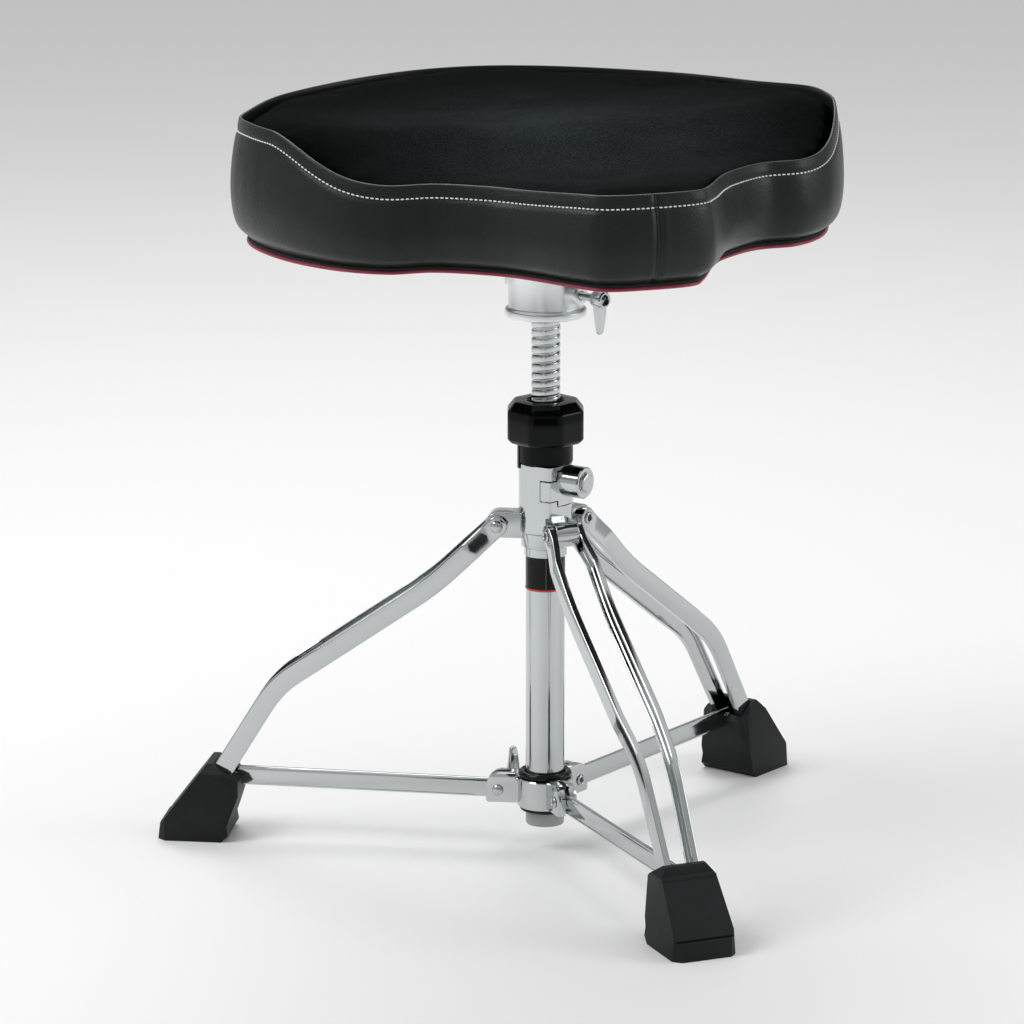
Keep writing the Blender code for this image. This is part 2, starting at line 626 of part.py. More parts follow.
def wing_bolt(name, material, frame, tip, wing_at, points_up):
    """A screw along +X with a short hollow hub and one wing."""
    shank = along_x(rod(WING_BOLT_RADIUS, tip, wing_at + mm))
    bolt = add(name, shank, material, frame)
    end = wing_at + WING_HUB_LENGTH
    hub = add(f"{name}_hub", along_x(rod(WING_HUB_RADIUS, wing_at, end, ROUND_SIDES)), None, frame)
    sign = 1 if points_up else -1
    outline = [(-WING_ROOT / 2, 0), (WING_ROOT / 2, 0), (WING_TIP / 2, sign * WING_LENGTH * 0.93),
               (WING_TIP / 4, sign * WING_LENGTH), (-WING_TIP / 4, sign * WING_LENGTH),
               (-WING_TIP / 2, sign * WING_LENGTH * 0.93)]
    blade = upright(prism(outline, -WING_THICK / 2, WING_THICK / 2))
    bmesh.ops.rotate(blade, verts=blade.verts, matrix=Matrix.Rotation(pi / 2, 3, "Z"))
    middle = (wing_at + end) / 2
    bmesh.ops.translate(blade, verts=blade.verts, vec=(middle, 0, 0))
    combine(bolt, "UNION", hub, add(f"{name}_blade", blade, None, frame))
    hollow = along_x(rod(WING_HUB_RADIUS - 2.4 * mm, end - 6 * mm, end + mm))
    combine(bolt, "DIFFERENCE", add(f"{name}_hollow", hollow, None, frame))
    return bolt


# ---------------------------------------------------------------- seat


def seat_outline():
    """The closed outline as a curve through the half outline and its mirror image."""
    right = [Vector(p) * mm for p in SEAT_EDGE]
    left = [Vector((-p.x, p.y)) for p in reversed(right[1:-1])]
    knots = right + left
    points = []
    count = len(knots)
    for i in range(count):
        a, b, c, d = (knots[(i + k) % count] for k in (-1, 0, 1, 2))
        for step in range(EDGE_STEPS):
            t = step / EDGE_STEPS
            points.append(0.5 * (2 * b + (c - a) * t + (2 * a - 5 * b + 4 * c - d) * t * t
                                 + (3 * b - a - 3 * c + d) * t ** 3))
    return points


def inset(outline, by):
    """The outline moved inwards (outwards where by is negative)."""
    moved = []
    count = len(outline)
    for i, point in enumerate(outline):
        along = (outline[(i + 1) % count] - outline[i - 1]).normalized()
        moved.append(point + Vector((-along.y, along.x)) * by)
    return moved


def smooth_step(value):
    value = min(max(value, 0), 1)
    return value * value * (3 - 2 * value)


def rim_height(p):
    """The rim follows the saddle: low at the waist, high round the rear, a little up at the nose."""
    rise = RIM_RISE * smooth_step((p.y - RISE_FROM) / (RISE_TO - RISE_FROM))
    nose_from = -150 * mm
    nose = NOSE_RISE * smooth_step((nose_from - p.y) / (228 * mm + nose_from))
    corner = smooth_step(abs(p.x) / (170 * mm)) * smooth_step((p.y - 10 * mm) / (90 * mm))
    return PIPING_HEIGHT + RIM_LOW + rise + nose - REAR_FALL * corner


def loops_to_solid(loops, closed_ends=True):
    """Skins a stack of loops of points, and closes the first and the last or joins them."""
    bm = bmesh.new()
    rows = [[bm.verts.new(point) for point in loop] for loop in loops]
    count = len(rows[0])
    pairs = list(zip(rows, rows[1:]))
    if not closed_ends:
        pairs.append((rows[-1], rows[0]))
    for low, high in pairs:
        for i in range(count):
            j = (i + 1) % count
            bm.faces.new((low[i], low[j], high[j], high[i]))
    if closed_ends:
        bm.faces.new(list(reversed(rows[0])))
        bm.faces.new(rows[-1])
    return bm


def level_loop(outline, height):
    return [(p.x, p.y, height) for p in outline]


def share_loop(outline, share):
    """A loop part of the way from the wall's bottom to the rim."""
    return [(p.x, p.y, WALL_BOTTOM + share * (rim_height(p) - WALL_BOTTOM)) for p in outline]


def scaled_rings(outline, drop, shares):
    """Loops that shrink towards the seat's centre and sink into its dish."""
    centre = Vector((0, 0))
    loops = []
    for share in shares:
        loop = []
        for p in outline:
            q = centre.lerp(p, share)
            sink = DISH * (1 - share * share)
            loop.append((q.x, q.y, rim_height(q) - sink - drop))
        loops.append(loop)
    return loops


def build_seat(seat, leather, cloth, foam_colour, crimson, wood, felt):
    outline = seat_outline()
    outer, inner = [], []
    for rows, depth in ((outer, 0), (inner, LEATHER_THICK)):
        rows.append(level_loop(inset(outline, TUCK + depth), WALL_BOTTOM))
        rows += [share_loop(inset(outline, depth - bulge * BULGE), share) for share, bulge in WALL_CURVE]
    wall = outer + inner[::-1]
    add("seat_side_cover", loops_to_solid(wall, closed_ends=False), leather, seat)

    inside = LEATHER_THICK + GAP - WALL_CURVE[-1][1] * BULGE
    shares = (1.0, 0.8, 0.5, 0.2)
    top_edge = inset(outline, inside)
    top = scaled_rings(top_edge, 0.0, shares)
    under = scaled_rings(top_edge, CLOTH_THICK, reversed(shares))
    add("seat_top_cover", loops_to_solid(top[::-1] + under[::-1]), cloth, seat)

    foam_edge = inset(outline, inside + 5 * mm)
    foam = [level_loop(foam_edge, FOAM_BOTTOM)]
    foam += scaled_rings(foam_edge, CLOTH_THICK + 2 * mm, shares)
    add("seat_foam", loops_to_solid(foam), foam_colour, seat)

    board = inset(outline, TUCK + LEATHER_THICK + 2 * mm)
    base = add("seat_board", prism([(p.x, p.y) for p in board], BOARD_BOTTOM, BOARD_TOP), wood, seat)
    lining = inset(outline, PIPING_INSET + PIPING_RADIUS + 2 * mm)
    cover = add("seat_bottom_cover", prism([(p.x, p.y) for p in lining], SEAT_BOTTOM, COVER_TOP),
                felt, seat)
    for number, (x, y) in enumerate(screw_places(), 1):
        hole = add(f"board_hole_{number}", rod(T_NUT_BARREL + GAP, SEAT_BOTTOM - mm, BOARD_TOP + mm),
                   None, seat, (x, y, 0))
        combine(base, "DIFFERENCE", hole)
        combine(cover, "DIFFERENCE", hole)

    piping = []
    for across, up in arc((0, 0), PIPING_RADIUS, 0, 360, PIPING_SIDES)[:-1]:
        ring = inset(outline, PIPING_INSET - across)
        piping.append(level_loop(ring, PIPING_HEIGHT + up))
    add("seat_piping", loops_to_solid(piping, closed_ends=False), crimson, seat)


# ---------------------------------------------------------------- legs


def leg_route():
    """Middle line of a strip seen from the side, from its tab to its end in the foot."""
    pivot, high, low, entry = (Vector(p) for p in (LEG_PIVOT, LEG_BEND_HIGH, LEG_BEND_LOW, LEG_ENTRY))
    start = pivot + (pivot - high).normalized() * LEG_TAB
    down = (entry - low).normalized()
    end = entry + down * ((entry.y - LEG_END_HEIGHT) / -down.y)
    joggle_from = pivot.lerp(high, JOGGLE_FROM)
    joggle_to = pivot.lerp(high, JOGGLE_TO)
    narrow_from = high.lerp(low, 0.72)
    return [
        (start, STRIP_AT_PIVOT), (joggle_from, STRIP_AT_PIVOT), (joggle_to, STRIP_WIDE),
        (high, STRIP_WIDE), (narrow_from, STRIP_WIDE), (low, STRIP_AT_FOOT + 1.5 * mm),
        (entry, STRIP_AT_FOOT), (end, STRIP_AT_FOOT),
    ]


def strip_section():
    """Channel section as (across the height, outwards from the strip's middle)."""
    h = STRIP_HEIGHT / 2
    d = STRIP_DEPTH / 2
    web = d - STRIP_WALL
    flange = h - STRIP_WALL
    c = STRIP_CHAMFER
    return [(-h, -d), (-flange, -d), (-flange, web), (flange, web), (flange, -d), (h, -d),
            (h, d - c), (h - c, d), (c - h, d), (-h, d - c)]


def build_strip(name, pivot, side, material):
    """side is 1 or -1 for the strip on either side of the leg's mid plane."""
    route = leg_route()
    origin = Vector(LEG_PIVOT)
    loops = []
    for i, (point, offset) in enumerate(route):
        before = (point - route[i - 1][0]).normalized() if i else None
        after = (route[i + 1][0] - point).normalized() if i + 1 < len(route) else None
        along = ((before or after) + (after or before)).normalized()
        stretch = 1 / max(0.5, along.dot(after or before))
        across = Vector((-along.y, along.x)) * stretch
        loop = []
        for height, out in strip_section():
            place = point + across * height - origin
            loop.append((place.x, side * (offset + out), place.y))
        loops.append(loop)
    strip = add(name, loops_to_solid(loops), material, pivot)
    hole = add(f"{name}_hole", upright(rod(LEG_PIN_RADIUS + GAP, -2 * STRIP_WIDE, 2 * STRIP_WIDE)),
               None, pivot)
    return combine(strip, "DIFFERENCE", hole)


def foot_outline():
    return [
        (FOOT_INNER, 0), (FOOT_OUTER, 0), (FOOT_OUTER - 2 * mm, FOOT_LIP),
        (FOOT_OUTER - 4 * mm, FOOT_LIP + 1.5 * mm), (FOOT_TOP_OUTER, FOOT_HEIGHT),
        (FOOT_TOP_OUTER - 5 * mm, FOOT_HEIGHT), (FOOT_TOP_INNER, FOOT_INNER_HEIGHT),
        (FOOT_TOP_INNER, 0.74 * FOOT_INNER_HEIGHT), (FOOT_TOP_INNER + 8 * mm, 12.5 * mm),
        (FOOT_INNER - 5.5 * mm, 5 * mm),
    ]


def lean_in(bm):
    """Leans the two sides of a foot towards each other."""
    for vert in bm.verts:
        vert.co.y -= copysign(FOOT_LEAN * vert.co.z, vert.co.y)
    return bm


def build_foot(name, pivot, material):
    back = (-LEG_PIVOT[0], 0, -LEG_PIVOT[1])
    foot = add(name, lean_in(side_prism(foot_outline(), FOOT_HALF_WIDTH)), material, pivot, back)
    length = FOOT_OUTER - FOOT_TOP_INNER + mm
    middle = (FOOT_OUTER + FOOT_TOP_INNER) / 2
    w = FOOT_HALF_WIDTH + mm
    c = FOOT_CHAMFER + mm
    plan = [(-length / 2, -w + c), (-length / 2 + c, -w), (length / 2 - c, -w), (length / 2, c - w),
            (length / 2, w - c), (length / 2 - c, w), (c - length / 2, w), (-length / 2, w - c)]
    block = add(f"{name}_corners", lean_in(prism(plan, -mm, FOOT_HEIGHT + mm)), None, pivot,
                (back[0] + middle, 0, back[2]))
    combine(foot, "INTERSECT", block)
    low, entry = Vector(LEG_BEND_LOW), Vector(LEG_ENTRY)
    down = (entry - low).normalized()
    across = Vector((-down.y, down.x)) * (STRIP_HEIGHT / 2 + GAP)
    end = entry + down * ((entry.y - LEG_END_HEIGHT) / -down.y + 4 * GAP)
    start = entry - down * 60 * mm
    pocket = [start - across, end - across, end + across, start + across]
    half = STRIP_AT_FOOT + STRIP_DEPTH / 2 + GAP
    cavity = add(f"{name}_cavity", side_prism([(p.x, p.y) for p in pocket], half), None, pivot, back)
    slot_outline = [(FOOT_TOP_INNER - 9 * mm, FOOT_SLOT_FLOOR), (FOOT_OUTER + 9 * mm, FOOT_SLOT_FLOOR),
                    (FOOT_OUTER + 9 * mm, FOOT_HEIGHT + 9 * mm), (FOOT_TOP_INNER - 9 * mm, FOOT_HEIGHT + 9 * mm)]
    slot = add(f"{name}_slot", side_prism(slot_outline, brace_pin_half() + 2 * GAP), None, pivot, back)
    return combine(foot, "DIFFERENCE", cavity, slot)


def brace_pin_half():
    """Half the length of the short pin at a brace's outer end."""
    return BRACE_THICK / 2 + GAP + 0.8 * mm


def build_legs(column, chrome, rubber, steel):
    for name, azimuth in LEG_AZIMUTHS.items():
        pivot = spoke(f"leg_pivot_{name}", column, azimuth, *LEG_PIVOT)
        build_strip(f"leg_strip_{name}_a", pivot, 1, chrome)
        build_strip(f"leg_strip_{name}_b", pivot, -1, chrome)
        build_foot(f"foot_{name}", pivot, rubber)
        rivet(f"leg_pin_{name}", steel, pivot, LEG_PIN_RADIUS, LEG_PIN_HEAD, LEG_PIN_DOME,
              STRIP_AT_PIVOT + STRIP_DEPTH / 2)


# ---------------------------------------------------------------- collar and braces


def clevis_outline():
    corner = (CLEVIS_REACH - CLEVIS_ROUND, CLEVIS_HIGH - CLEVIS_ROUND)
    root = TUBE_RADIUS + 2 * mm
    clear = TUBE_RADIUS + 2 * TOP_RING_MINOR + 4 * GAP
    shoulder = COLLAR_BOTTOM + COLLAR_HEIGHT - mm
    points = [(root, CLEVIS_LOW), (CLEVIS_REACH, CLEVIS_LOW)]
    points += arc(corner, CLEVIS_ROUND, 0, 90, 6)
    return points + [(clear, CLEVIS_HIGH), (clear, shoulder), (root, shoulder)]


def build_collar(column, chrome, black, steel):
    slide = empty("collar_slide", column)
    top = COLLAR_BOTTOM + COLLAR_HEIGHT
    bore = TUBE_RADIUS + RUNNING
    collar = add("collar", turned([(0, COLLAR_BOTTOM), (COLLAR_RADIUS, COLLAR_BOTTOM),
                                   (COLLAR_RADIUS, top), (0, top)]), chrome, slide)
    for name, azimuth in LEG_AZIMUTHS.items():
        frame = spoke(f"clevis_frame_{name}", slide, azimuth, 0, 0)
        lump = add(f"clevis_{name}", side_prism(clevis_outline(), CLEVIS_HALF_WIDTH), None, frame)
        combine(collar, "UNION", lump)
    bolt_frame = spoke("collar_bolt_pivot", slide, COLLAR_BOLT_AZIMUTH, 0, COLLAR_BOLT_HEIGHT)
    boss = along_x(rod(COLLAR_BOLT_BOSS_RADIUS, COLLAR_RADIUS - 3 * mm, COLLAR_BOLT_BOSS, ROUND_SIDES))
    combine(collar, "UNION", add("collar_boss", boss, None, bolt_frame))
    cutters = [add("collar_bore", rod(bore, 0, 1, ROUND_SIDES), None, slide)]
    bolt_hole = along_x(rod(WING_BOLT_RADIUS + GAP, TUBE_RADIUS - mm, COLLAR_BOLT_BOSS + mm))
    cutters.append(add("collar_bolt_hole", bolt_hole, None, bolt_frame))
    slot_half = BRACE_THICK / 2 + GAP
    slot_from = COLLAR_PIVOT[0] - BRACE_HEIGHT / 2 - 2 * mm
    slot_outline = [(slot_from, 0), (0.1, 0), (0.1, 0.1), (slot_from, 0.1)]
    for name, azimuth in LEG_AZIMUTHS.items():
        frame = spoke(f"clevis_slot_frame_{name}", slide, azimuth, 0, 0)
        cutters.append(add(f"clevis_slot_{name}", side_prism(slot_outline, slot_half), None, frame))
        pivot = spoke(f"brace_pivot_{name}", slide, azimuth, *COLLAR_PIVOT)
        hole = upright(rod(PIN_RADIUS + GAP, -CLEVIS_REACH, CLEVIS_REACH))
        cutters.append(add(f"clevis_hole_{name}", hole, None, pivot))
        build_brace(name, pivot, chrome, steel)
        rivet(f"collar_pin_{name}", steel, pivot, PIN_RADIUS, PIN_HEAD, PIN_DOME, CLEVIS_HALF_WIDTH)
    combine(collar, "DIFFERENCE", *cutters)
    ring_middle = (TUBE_RADIUS + TOP_RING_MINOR + 2 * GAP, top + GAP + TOP_RING_MINOR)
    ring = arc(ring_middle, TOP_RING_MINOR, 0, 360, 8)[:-1]
    add("collar_top_ring", turned(ring), black, slide)
    low = COLLAR_BOTTOM - GAP - LOW_RING_HEIGHT
    add("collar_low_ring", turned(ring_profile(bore, LOW_RING_RADIUS, low, COLLAR_BOTTOM - GAP)),
        black, slide)
    wing_bolt("collar_wing_bolt", chrome, bolt_frame, TUBE_RADIUS + 2 * GAP,
              COLLAR_BOLT_BOSS + COLLAR_BOLT_SHOWN, points_up=True)


def build_brace(name, pivot, material, steel):
    reach = Vector(FOOT_PIVOT) - Vector(COLLAR_PIVOT)
    length = reach.length
    lean = -atan2(reach.y, reach.x)
    half = BRACE_HEIGHT / 2
    outline = arc((0, 0), half, 270, 90, 8) + arc((length, 0), half, 90, -90, 8)
    brace = add(f"brace_{name}", side_prism(outline, BRACE_THICK / 2), material, pivot)
    brace.rotation_euler.y = lean
    hole = upright(rod(PIN_RADIUS + GAP, -half, half))
    inner = add(f"brace_{name}_inner_hole", hole, None, pivot)
    hole = upright(rod(PIN_RADIUS + GAP, -half, half))
    outer = add(f"brace_{name}_outer_hole", hole, None, pivot, (reach.x, 0, reach.y))
    combine(brace, "DIFFERENCE", inner, outer)
    head = 3.2 * mm
    outer_end = empty(f"brace_end_{name}", pivot, (reach.x, 0, reach.y))
    shank = upright(rod(PIN_RADIUS, -brace_pin_half(), brace_pin_half()))
    pin = add(f"brace_pin_{name}", shank, steel, outer_end)
    for label, low, high in (("near", -brace_pin_half(), -BRACE_THICK / 2 - GAP),
                             ("far", BRACE_THICK / 2 + GAP, brace_pin_half())):
        disc = add(f"brace_pin_{name}_{label}", upright(rod(head, low, high)), None, outer_end)
        combine(pin, "UNION", disc)


# ---------------------------------------------------------------- the throne


def build():
    clear_scene()
    chrome = finish("chrome_plate", (0.78, 0.80, 0.81), 0.12, 1.0)
    steel = finish("bright_steel", (0.70, 0.72, 0.73), 0.25, 1.0)
    cast = finish("satin_cast_metal", (0.80, 0.82, 0.82), 0.3, 1.0)
    grey = finish("grey_plastic", (0.55, 0.56, 0.56), 0.45)
    nut_black = finish("gloss_black_plastic", (0.008, 0.009, 0.010), 0.14)
    sleeve_black = finish("matt_black_plastic", (0.015, 0.016, 0.017), 0.4)
    rubber = finish("foot_rubber", (0.018, 0.023, 0.023), 0.6)
    ring_black = finish("ring_rubber", (0.010, 0.010, 0.011), 0.35)
    red = finish("red_ring", (0.55, 0.03, 0.03), 0.4)
    leather = finish("grained_leatherette", (0.020, 0.025, 0.023), 0.5)
    cloth = finish("seat_cloth", (0.012, 0.012, 0.013), 0.95)
    foam = finish("foam", (0.75, 0.68, 0.42), 0.9)
    crimson = finish("crimson_piping", (0.30, 0.03, 0.07), 0.45)
    wood = finish("plywood", (0.50, 0.36, 0.20), 0.7)
    felt = finish("black_lining", (0.02, 0.02, 0.02), 0.9)

    column = empty("column", at=(0, COLUMN_Y, 0))
    seat = empty("seat", column, turn=SEAT_TURN)
    build_column(column, chrome, grey, sleeve_black, red)
    build_holder(column, chrome, sleeve_black)
    build_clamp(column, chrome, steel)
    build_height_adjuster(column, nut_black, steel, chrome)
    build_bracket(seat, cast, steel)
    build_seat(seat, leather, cloth, foam, crimson, wood, felt)
    build_legs(column, chrome, rubber, steel)
    build_collar(column, chrome, ring_black, steel)


build()
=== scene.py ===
from math import acos, cos, degrees, exp, floor, pi, radians, sin

import bmesh
import bpy
import numpy as np
from mathutils import Matrix, Vector, noise


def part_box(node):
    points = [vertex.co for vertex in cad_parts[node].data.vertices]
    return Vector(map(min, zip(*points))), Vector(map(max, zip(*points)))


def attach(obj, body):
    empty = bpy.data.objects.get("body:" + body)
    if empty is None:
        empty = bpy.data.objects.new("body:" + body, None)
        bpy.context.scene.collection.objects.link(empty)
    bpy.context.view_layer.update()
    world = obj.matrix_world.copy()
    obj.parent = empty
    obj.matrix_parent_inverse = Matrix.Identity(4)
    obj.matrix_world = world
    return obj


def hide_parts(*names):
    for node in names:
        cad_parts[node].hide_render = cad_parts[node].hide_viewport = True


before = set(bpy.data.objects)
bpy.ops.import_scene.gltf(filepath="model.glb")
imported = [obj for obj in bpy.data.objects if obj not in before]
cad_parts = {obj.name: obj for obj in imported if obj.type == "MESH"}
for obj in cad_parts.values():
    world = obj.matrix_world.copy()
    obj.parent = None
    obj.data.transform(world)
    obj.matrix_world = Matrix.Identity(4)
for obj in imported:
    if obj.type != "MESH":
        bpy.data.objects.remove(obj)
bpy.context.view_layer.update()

# Everything is modelled in millimetres and made metres when a piece is finished.
mm = 0.001
legAzimuths = {"front": 0, "left": -120, "right": 120}


def middle(node):
    low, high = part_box(node)
    return (low + high) / 2 / mm


def bottomOf(node):
    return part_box(node)[0].z / mm


def topOf(node):
    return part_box(node)[1].z / mm


columnY = middle("base_tube").y
upright = Matrix.Translation((0, columnY, 0))

# Camera and light

view = {
    "lens": 189.5, "distance": 4003, "azimuth": -23.07, "height": 1256.6, "tilt": 13.89, "swing": 0.366,
}
studio = {
    "sky": ((0.0, 0.5), (0.5, 0.5), (0.56, 0.62), (0.66, 0.3), (0.8, 0.45), (1.0, 0.9)),
    "floor": 0.86,
    "key": {"size": 1500, "power": 32, "azimuth": -95, "distance": 1900, "height": 2300},
    "fill": {"size": 1300, "power": 12, "azimuth": 62, "distance": 2300, "height": 1300},
    "back": {"size": 1600, "power": 24, "azimuth": 165, "distance": 1700, "height": 2400},
}
darkCards = (  # azimuth, distance, width, height of its middle
    (-58, 2600, 260, 700),
    (2, 3000, 300, 700),
    (-22, 2600, 760, 300),
    (96, 2400, 420, 600),
    (-142, 2400, 420, 700),
)


def outward(azimuth):
    return Vector((sin(radians(azimuth)), -cos(radians(azimuth)), 0))


def facing(azimuth, height=0.0):  # turns +X outward at this azimuth
    return Matrix.Translation((0, 0, height)) @ Matrix.Rotation(radians(azimuth - 90), 4, "Z")


def spoke(azimuth, distance=0.0, height=0.0):  # the same about the column, and out along the spoke
    return upright @ facing(azimuth, height) @ Matrix.Translation((distance, 0, 0))


def makeCamera():
    data = bpy.data.cameras.new("camera")
    data.lens = view["lens"]
    data.sensor_width = 36
    data.clip_end = 100
    camera = bpy.data.objects.new("camera", data)
    bpy.context.scene.collection.objects.link(camera)
    at = outward(view["azimuth"]) * view["distance"] + Vector((0, columnY, view["height"]))
    camera.location = at * mm
    camera.rotation_euler = (radians(90 - view["tilt"]), 0, radians(view["azimuth"] + view["swing"]))
    bpy.context.scene.camera = camera


def fillRamp(node, stops):
    while len(node.color_ramp.elements) < len(stops):
        node.color_ramp.elements.new(0.5)
    for element, (at, shade) in zip(node.color_ramp.elements, stops):
        element.position = at
        element.color = (shade, shade, shade, 1)


def makeLights():
    target = Vector((0, columnY, 300))
    for name in ("key", "fill", "back"):
        lamp = studio[name]
        data = bpy.data.lights.new(name, "AREA")
        data.shape = "DISK"
        data.size = lamp["size"] * mm
        data.energy = lamp["power"]
        light = bpy.data.objects.new(name, data)
        at = outward(lamp["azimuth"]) * lamp["distance"] + Vector((0, columnY, lamp["height"]))
        light.location = at * mm
        light.rotation_euler = (target - at).to_track_quat("-Z", "Y").to_euler()
        bpy.context.scene.collection.objects.link(light)
    world = bpy.data.worlds.new("studio")
    world.use_nodes = True
    tree = world.node_tree
    spot = tree.nodes.new("ShaderNodeTexCoord")
    split = tree.nodes.new("ShaderNodeSeparateXYZ")
    height = tree.nodes.new("ShaderNodeMapRange")
    height.inputs["From Min"].default_value = -1.0
    sky = tree.nodes.new("ShaderNodeValToRGB")
    fillRamp(sky, studio["sky"])
    tree.links.new(spot.outputs["Generated"], split.inputs[0])
    tree.links.new(split.outputs["Z"], height.inputs["Value"])
    tree.links.new(height.outputs[0], sky.inputs["Fac"])
    tree.links.new(sky.outputs["Color"], tree.nodes["Background"].inputs["Color"])
    bpy.context.scene.world = world
    bpy.context.scene.view_settings.view_transform = "Standard"


makeCamera()
makeLights()
print("camera and lights made")


# Shader maths

class Link:  # an output socket that takes part in sums
    def __init__(self, finish, socket):
        self.finish = finish
        self.socket = socket

    def sum(self, operation, first, second):
        return self.finish.node("ShaderNodeMath", {"operation": operation}, {0: first, 1: second})

    def __add__(self, other):
        return self.sum("ADD", self, other)

    def __radd__(self, other):
        return self.sum("ADD", other, self)

    def __mul__(self, other):
        return self.sum("MULTIPLY", self, other)

    def __rmul__(self, other):
        return self.sum("MULTIPLY", other, self)


class Finish:  # a material and the nodes behind it
    def __init__(self, name, colour, roughness, metallic=0.0, fixed=None):
        self.material = bpy.data.materials.new(name)
        self.material.use_nodes = True
        self.tree = self.material.node_tree
        self.shader = self.tree.nodes["Principled BSDF"]
        self.put("Base Color", (*colour, 1))
        self.put("Roughness", roughness)
        self.put("Metallic", metallic)
        for socket, value in (fixed or {}).items():
            self.put(socket, value)

    def put(self, socket, value):
        self.feed(self.shader.inputs[socket], value)

    def feed(self, socket, value):
        if isinstance(value, Link):
            self.tree.links.new(value.socket, socket)
        else:
            socket.default_value = value

    def node(self, kind, settings=None, sockets=None, out=0):
        made = self.tree.nodes.new(kind)
        for key, value in (settings or {}).items():
            if key == "stops":
                fillRamp(made, value)
            else:
                setattr(made, key, value)
        for key, value in (sockets or {}).items():
            self.feed(made.inputs[key], value)
        return Link(self, made.outputs[out])

    def place(self, stretch=(1, 1, 1)):
        spot = self.node("ShaderNodeTexCoord", out="Object")
        return self.node("ShaderNodeMapping", sockets={"Vector": spot, "Scale": stretch})

    def noise(self, scale, detail=3.0, stretch=(1, 1, 1), rough=0.5):
        return self.node("ShaderNodeTexNoise", sockets={
            "Vector": self.place(stretch), "Scale": scale, "Detail": detail, "Roughness": rough})

    def cells(self, scale, feature="SMOOTH_F1"):
        return self.node("ShaderNodeTexVoronoi", {"feature": feature}, {
            "Vector": self.place(), "Scale": scale})

    def ramp(self, value, stops):
        return self.node("ShaderNodeValToRGB", {"stops": stops}, {"Fac": value})

    def tint(self, share, low, high):
        return self.node("ShaderNodeMix", {"data_type": "RGBA"}, {
            0: share, 6: (*low, 1), 7: (*high, 1)}, out=2)

    def bump(self, height, strength, depth):
        normal = self.node("ShaderNodeBump", sockets={
            "Height": height, "Strength": strength, "Distance": depth})
        self.put("Normal", normal)


def makeChrome(name, dull, colour, grain):
    finish = Finish(name, colour, dull, 1.0)
    cloudy = finish.noise(22, 2)
    fine = finish.noise(380, 2, grain)
    finish.put("Roughness", dull + 0.5 * dull * cloudy + 0.25 * dull * fine)
    darker = tuple(0.95 * c for c in colour)
    finish.put("Base Color", finish.tint(cloudy, darker, colour))
    finish.bump(fine, 0.02, 0.0002)
    return finish.material


def makePlastic(name, colour, dull, grainScale, grain, shine=0.5):
    finish = Finish(name, colour, dull, 0.0, {"Specular IOR Level": shine})
    patchy = finish.noise(30, 3)
    fine = finish.noise(grainScale, 3)
    finish.put("Roughness", dull * 0.85 + 0.3 * dull * patchy)
    darker, lighter = (tuple(share * c for c in colour) for share in (0.8, 1.25))
    finish.put("Base Color", finish.tint(patchy, darker, lighter))
    finish.bump(fine, grain, 0.0004)
    return finish.material


def makeRubber():
    finish = Finish("footRubber", (0.006, 0.008, 0.008), 0.5, fixed={"Specular IOR Level": 0.25})
    fine = finish.noise(900, 4, rough=0.65)
    scuffed = finish.ramp(finish.noise(16, 5, rough=0.62), ((0.42, 0), (0.75, 1)))
    finish.put("Base Color", finish.tint(scuffed, (0.003, 0.0045, 0.005), (0.011, 0.015, 0.015)))
    finish.put("Roughness", 0.44 + 0.12 * fine + 0.12 * scuffed)
    finish.bump(fine, 0.35, 0.0003)
    return finish.material


def makeLeather():
    finish = Finish("grainedLeather", (0.020, 0.026, 0.024), 0.42, fixed={"Specular IOR Level": 0.3})
    pebbles = finish.cells(720)
    creases = finish.cells(300, feature="DISTANCE_TO_EDGE")
    fine = finish.noise(1500, 3, rough=0.6)
    worn = finish.noise(9, 4, rough=0.55)
    height = pebbles * -0.6 + finish.ramp(creases, ((0.0, 0), (0.12, 1))) * 0.35 + fine * 0.25
    finish.put("Base Color", finish.tint(worn, (0.004, 0.0068, 0.006), (0.009, 0.0155, 0.0135)))
    finish.put("Roughness", 0.24 + 0.14 * fine + 0.10 * worn)
    finish.bump(height, 0.28, 0.0006)
    return finish.material


def makeVelvet():
    finish = Finish("blackVelvet", (0.004, 0.004, 0.0045), 0.92, fixed={"Specular IOR Level": 0.02})
    # The middle of the top is painted lighter as a highlight, and the brushed patches are painted sheen;
    # the tufts' speckle is random tone of the pile.
    spread = finish.node("ShaderNodeMapping", sockets={
        "Vector": finish.node("ShaderNodeTexCoord", out="Object"), "Scale": (5.0, 5.5, 0.0)})
    paintedHighlight = finish.node("ShaderNodeTexGradient", {"gradient_type": "SPHERICAL"}, {"Vector": spread},
                          out="Fac")
    pile = finish.noise(2400, 2, rough=0.7)
    tufts = finish.noise(700, 4, rough=0.75)
    brushedSheen = finish.ramp(finish.noise(10, 8, (1, 1.5, 1), 0.6), ((0.25, 0), (0.95, 1)))
    speckle = finish.ramp(tufts, ((0.42, 0), (0.75, 1)))
    shade = (brushedSheen * 0.45 + speckle * 0.55) * (0.08 + paintedHighlight)
    # The light end of this tint is the painted highlight and sheen on the black pile.
    finish.put("Base Color", finish.tint(shade, (0.0010, 0.0011, 0.0012), (0.050, 0.066, 0.064)))
    finish.put("Roughness", 0.85 + 0.12 * pile)
    finish.bump(pile * 0.5 + tufts, 0.6, 0.0009)
    return finish.material


def makeFlecked(name, low, high, dull, scale, depth):  # lining, the painted shade band and thread
    finish = Finish(name, low, dull)
    fine = finish.noise(scale, 4, rough=0.7)
    finish.put("Base Color", finish.tint(fine, low, high))
    finish.bump(fine, 0.5, depth)
    return finish.material


